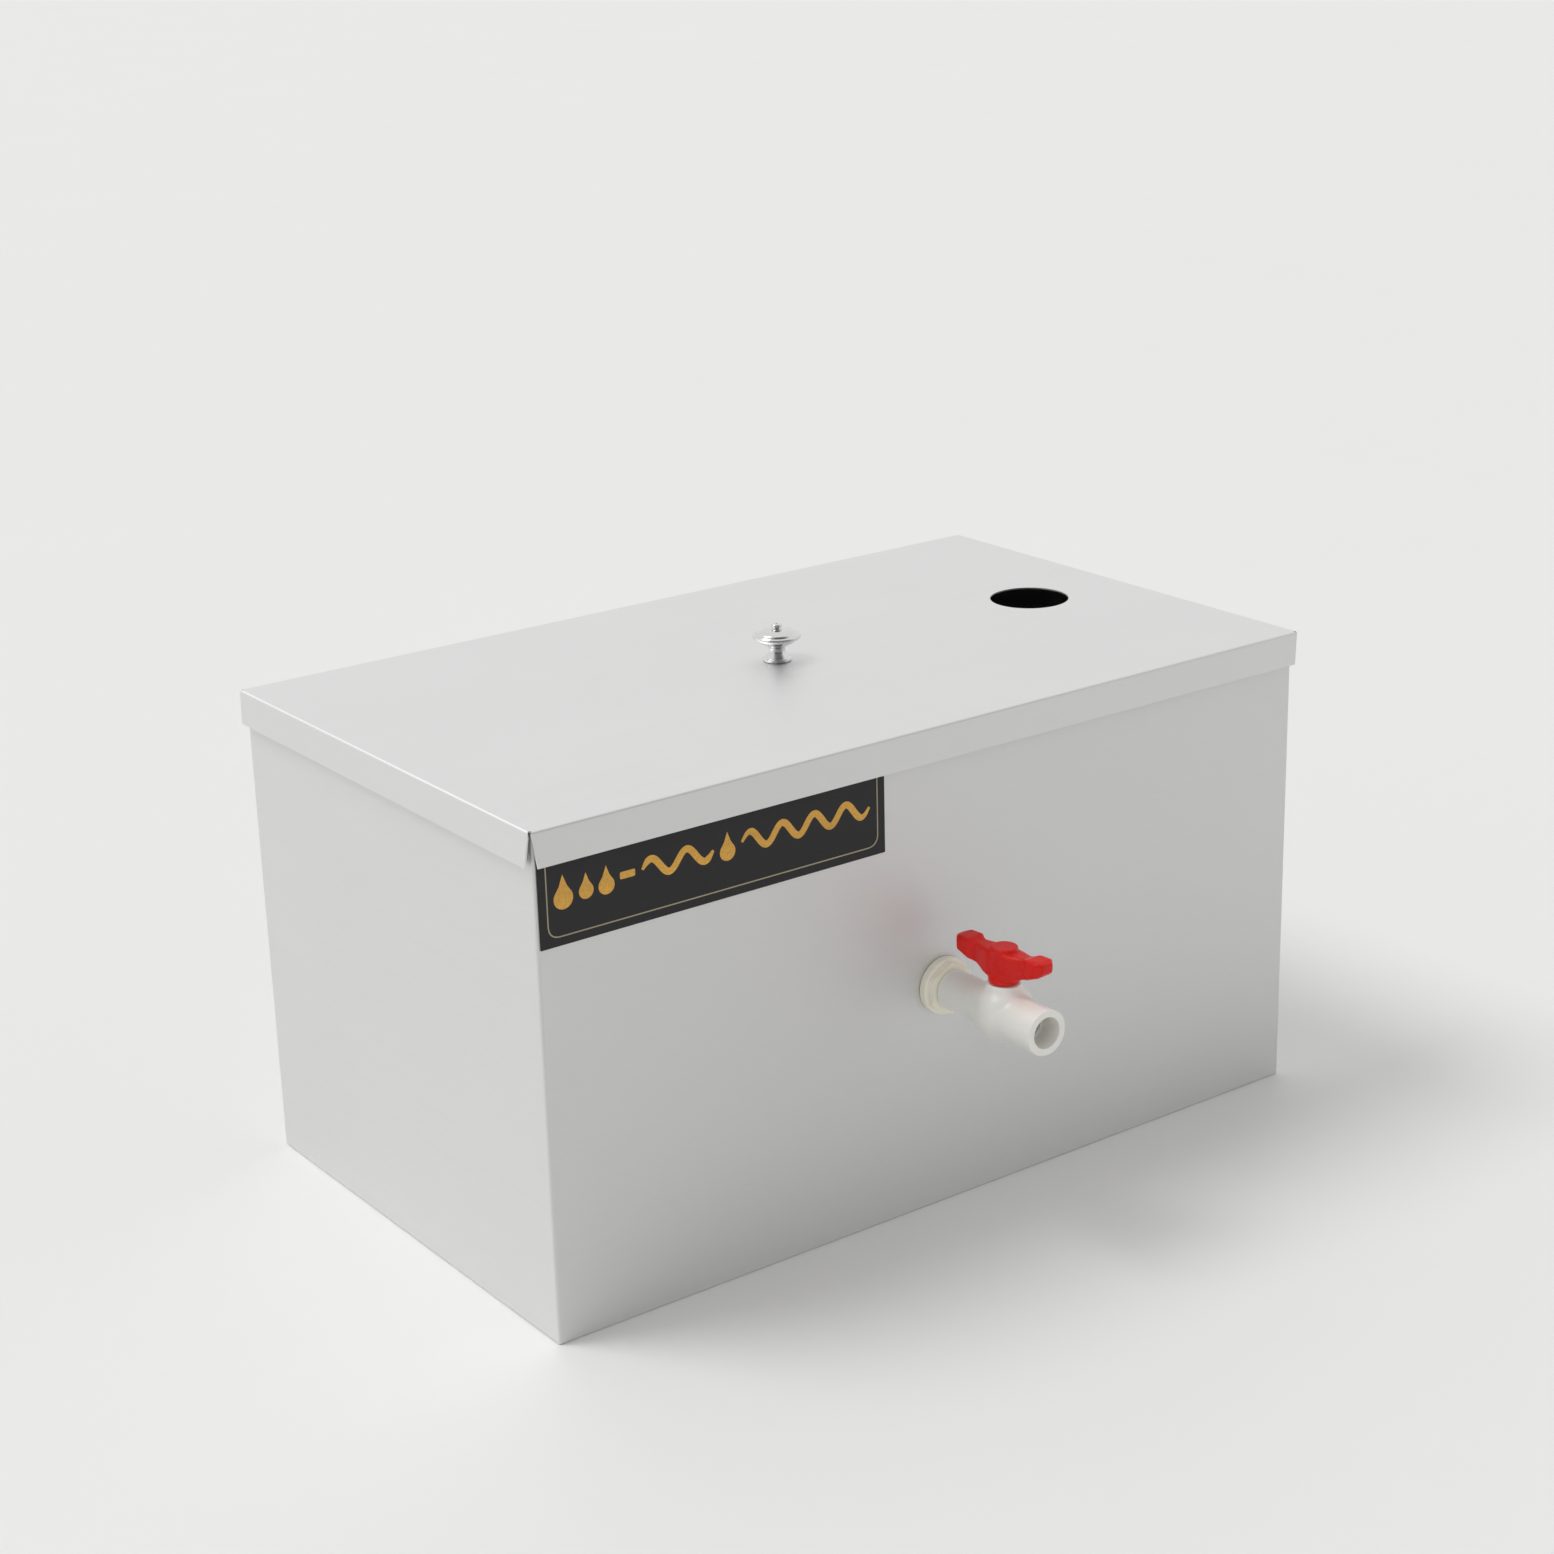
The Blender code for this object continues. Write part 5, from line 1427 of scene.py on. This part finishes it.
@dataclass
class StrainerBasket(SubAssembly):
    """Perforated basket on its two rails, with a wire bail in two lugs."""

    x: float = 0.205
    half_x: float = 0.080
    half_y: float = 0.148
    floor: float = 0.1253
    rim: float = 0.2353
    rim_x: float = 0.008
    rim_y: float = 0.015
    sheet: float = 0.0012
    pitch: float = 0.0125
    hole: float = 0.0026
    wire_radius: float = 0.0020
    arm: float = 0.075
    bend: float = 0.012
    hook_end: float = 0.0028
    hook_bend: float = 0.0015
    lug_sheet: float = 0.0015

    def panel(
        self,
        builder: Builder,
        across: Pair,
        down: Pair,
        place: Callable[[float, float], Sequence[float]],
    ) -> None:
        """Adds a wall or the floor with a round hole in each cell.

        Args:
            builder: The mesh that gets the faces.
            across: First and last coordinate of the panel's width.
            down: First and last coordinate of its height.
            place: Maps the two coordinates to a point.
        """
        columns = round((across[1] - across[0]) / self.pitch)
        rows = round((down[1] - down[0]) / self.pitch)
        cell_u = (across[1] - across[0]) / columns
        cell_v = (down[1] - down[0]) / rows
        for column in range(columns):
            for row in range(rows):
                centre_u = across[0] + (column + 0.5) * cell_u
                centre_v = down[0] + (row + 0.5) * cell_v
                hole = []
                border = []
                for index in range(8):
                    angle = math.radians(45 * index)
                    u, v = math.cos(angle), math.sin(angle)
                    stretch = max(abs(u), abs(v))
                    rim_u, rim_v = centre_u + self.hole * u, centre_v + self.hole * v
                    hole.append(builder.verts.new(place(rim_u, rim_v)))
                    edge_u = centre_u + u / stretch * cell_u / 2
                    edge_v = centre_v + v / stretch * cell_v / 2
                    border.append(builder.verts.new(place(edge_u, edge_v)))
                for index in range(8):
                    after = (index + 1) % 8
                    builder.faces.new((hole[index], border[index], border[after], hole[after]))

    def basket(self) -> None:
        """The basket with its rim."""
        builder = bmesh.new()
        x_span = (-self.half_x, self.half_x)
        y_span = (-self.half_y, self.half_y)
        z_span = (self.floor, self.rim)
        self.panel(builder, x_span, y_span, lambda u, v: (u, v, self.floor))
        for side in (-1, 1):
            wall_x, wall_y = side * self.half_x, side * self.half_y
            self.panel(builder, x_span, z_span, lambda u, v, y=wall_y: (u, y, v))
            self.panel(builder, y_span, z_span, lambda u, v, x=wall_x: (x, u, v))
        near = 1e-5
        bmesh.ops.remove_doubles(builder, verts=builder.verts, dist=near)
        rim_edges = []
        for edge in builder.edges:
            if edge.is_boundary and all(abs(vert.co.z - self.rim) < near for vert in edge.verts):
                rim_edges.append(edge)
        pulled = bmesh.ops.extrude_edge_only(builder, edges=rim_edges)
        for vert in [item for item in pulled["geom"] if isinstance(item, bmesh.types.BMVert)]:
            if abs(abs(vert.co.x) - self.half_x) < near:
                vert.co.x += math.copysign(self.rim_x, vert.co.x)
            if abs(abs(vert.co.y) - self.half_y) < near:
                vert.co.y += math.copysign(self.rim_y, vert.co.y)
        bmesh.ops.recalc_face_normals(builder, faces=builder.faces)
        lowest = min(builder.faces, key=lambda face: face.calc_center_median().z)
        if lowest.normal.z > 0:
            bmesh.ops.reverse_faces(builder, faces=builder.faces)
        place = Matrix.Translation((self.x, 0, 0))
        basket = thickened(builder, self.sheet)
        self.add("basket", basket, INNER_STEEL, stands_for=["strainer_basket"], place=place)

    def bail(self) -> None:
        """The wire bail, folded down on the rim."""
        lug = self.half_x + self.rim_x + FIT
        hook = lug + self.lug_sheet + self.hook_end
        arm_x = lug - FIT - self.wire_radius
        half = [(hook, 0.0)]
        half += arc((arm_x + self.hook_bend, self.hook_bend), self.hook_bend, 270, 180, 5)
        half += arc((arm_x - self.bend, self.arm - self.bend), self.bend, 0, 90, 10)
        line = [Vector((x, y, 0.0)) for x, y in half + [(-x, y) for x, y in reversed(half)]]
        stations = []
        for index, point in enumerate(line):
            before = line[max(index - 1, 0)]
            after = line[min(index + 1, len(line) - 1)]
            stations.append((point, (after - before).normalized(), self.wire_radius))
        tip = 0.5 * self.wire_radius
        first, direction, _ = stations[0]
        stations[0] = (first, direction, tip)
        stations.insert(1, (first + direction * tip, direction, self.wire_radius))
        last, direction, _ = stations[-1]
        stations[-1] = (last, direction, tip)
        stations.insert(-1, (last - direction * tip, direction, self.wire_radius))
        rings = sweep(stations, Vector((0, 0, 1)), 20)
        height = self.rim + self.sheet + FIT + self.wire_radius
        place = Matrix.Translation((self.x, 0, height))
        self.add("bail_wire", skin(rings), WIRE_STEEL, Body.BAIL, ["basket_bail"], place, crease=50)

    def build(self) -> None:
        """Makes the basket and the bail, and dresses the rails and lugs."""
        self.basket()
        self.bail()
        for node in ("basket_rail_front", "basket_rail_rear", "basket_ear_left", "basket_ear_right"):
            self.dress(node, INNER_STEEL)


@dataclass
class Baffles(SubAssembly):
    """The two lift-out plates in their channels."""

    names: tuple[str, ...] = ("inlet", "outlet")

    def build(self) -> None:
        """Dresses the plates and the channels."""
        for name in self.names:
            self.dress(f"baffle_{name}", INNER_STEEL)
            for side in ("front", "rear"):
                self.dress(f"baffle_guide_{name}_{side}", INNER_STEEL)


# Studio


@dataclass
class Studio:
    """Pale floor, soft light and the camera."""

    focal: float = 67.5
    sensor: float = 36.0
    farthest: float = 100.0
    azimuth: float = -0.62648
    elevation: float = 0.33075
    roll: float = -0.02754
    camera_at: Corner = (-1.08232, -1.49145, 0.87619)
    sky: Colour = (0.60, 0.60, 0.60)
    backdrop: Colour = (0.84, 0.84, 0.835)
    dark_side: Colour = (0.12, 0.12, 0.12)
    dark_towards: Corner = (-0.35, -1.0, 0.25)
    dark_from: float = 0.35
    dark_full: float = 0.78
    floor_tint: Colour = (0.90, 0.90, 0.89)
    floor_reach: float = 30.0
    floor_level: float = -0.0002
    sun_from: Corner = (-0.9, 0.7, 1.9)
    sun_strength: float = 1.15
    sun_spread: float = 26.0

    def camera(self) -> None:
        """Stands the camera where the photograph was taken from."""
        azimuth, elevation, roll = self.azimuth, self.elevation, self.roll
        back = Vector(
            (
                math.sin(azimuth) * math.cos(elevation),
                -math.cos(azimuth) * math.cos(elevation),
                math.sin(elevation),
            )
        )
        right = Vector((math.cos(azimuth), math.sin(azimuth), 0.0))
        up = back.cross(right)
        turned_right = right * math.cos(roll) + up * math.sin(roll)
        turned_up = up * math.cos(roll) - right * math.sin(roll)
        axes = Matrix((turned_right, turned_up, back)).transposed()
        data = bpy.data.cameras.new("camera")
        data.lens = self.focal
        data.sensor_width = self.sensor
        data.clip_end = self.farthest
        eye = linked("camera", data)
        eye.matrix_world = Matrix.Translation(self.camera_at) @ axes.to_4x4()
        bpy.context.scene.camera = eye

    def floor(self) -> None:
        """A wide pale floor."""
        outline = rectangle(self.floor_reach, self.floor_reach)
        builder = bmesh.new()
        builder.faces.new([builder.verts.new((x, y, self.floor_level)) for x, y in outline])
        mesh = baked("floor", builder)
        floor = linked("floor", mesh)
        material = bpy.data.materials.new("floor")
        material.use_nodes = True
        painter = Painter(material)
        clouds = painter.noise(painter.place, scale=3.0, detail=3.0)
        dark = tuple(channel * 0.985 for channel in self.floor_tint)
        painter.feed("Base Color", painter.blend(clouds, dark, self.floor_tint))
        painter.fix(Roughness=0.55)
        mesh.materials.append(material)

    def world(self) -> None:
        """Even light from all round, and a pale backdrop that is darker in front of the object."""
        world = bpy.data.worlds.new("studio")
        bpy.context.scene.world = world
        world.use_nodes = True
        tree = Nodes(world.node_tree)
        tree.nodes.clear()
        light = tree.add("ShaderNodeBackground", {"Color": (*self.sky, 1.0)})
        towards = tree.add("ShaderNodeTexCoord", {}, "Generated")
        inputs = {0: towards, 1: Vector(self.dark_towards).normalized()}
        facing = tree.add("ShaderNodeVectorMath", inputs, "Value", operation="DOT_PRODUCT")
        inputs = {"Value": facing, "From Min": self.dark_from, "From Max": self.dark_full}
        share = tree.add("ShaderNodeMapRange", inputs, interpolation_type="SMOOTHSTEP")
        seen = tree.add("ShaderNodeBackground", {"Color": tree.blend(share, self.backdrop, self.dark_side)})
        path = tree.nodes.new("ShaderNodeLightPath")
        any_ray = path.outputs["Is Camera Ray"]
        for name in ("Is Glossy Ray", "Is Transmission Ray"):
            any_ray = tree.add("ShaderNodeMath", {0: any_ray, 1: path.outputs[name]}, operation="MAXIMUM")
        mixed = tree.add("ShaderNodeMixShader", {0: any_ray, 1: light, 2: seen})
        out = tree.nodes.new("ShaderNodeOutputWorld")
        tree.links.new(mixed, out.inputs["Surface"])

    def sun(self) -> None:
        """A wide, soft sun over the left rear."""
        data = bpy.data.lights.new("sun", "SUN")
        data.energy = self.sun_strength
        data.angle = math.radians(self.sun_spread)
        lamp = linked("sun", data)
        lamp.rotation_mode = "QUATERNION"
        lamp.rotation_quaternion = Vector(self.sun_from).to_track_quat("Z", "Y")

    def build(self) -> None:
        """Sets up the camera, the floor and the light."""
        self.camera()
        self.floor()
        self.world()
        self.sun()
        bpy.context.scene.view_settings.view_transform = "Standard"


def main() -> None:
    """Builds the studio and the sub-assemblies."""
    logging.basicConfig(level=logging.INFO, format="%(message)s")
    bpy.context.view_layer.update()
    assemblies = (
        FoldedTank(),
        FoldedLid(),
        LidKnob(),
        FrontLabel(),
        DrainValve(),
        PipeOutlet(),
        StrainerBasket(),
        Baffles(),
    )
    Studio().build()
    for assembly in assemblies:
        LOG.info("%s", type(assembly).__name__)
        assembly.build()
    bpy.context.view_layer.update()


if __name__ == "__main__":
    main()
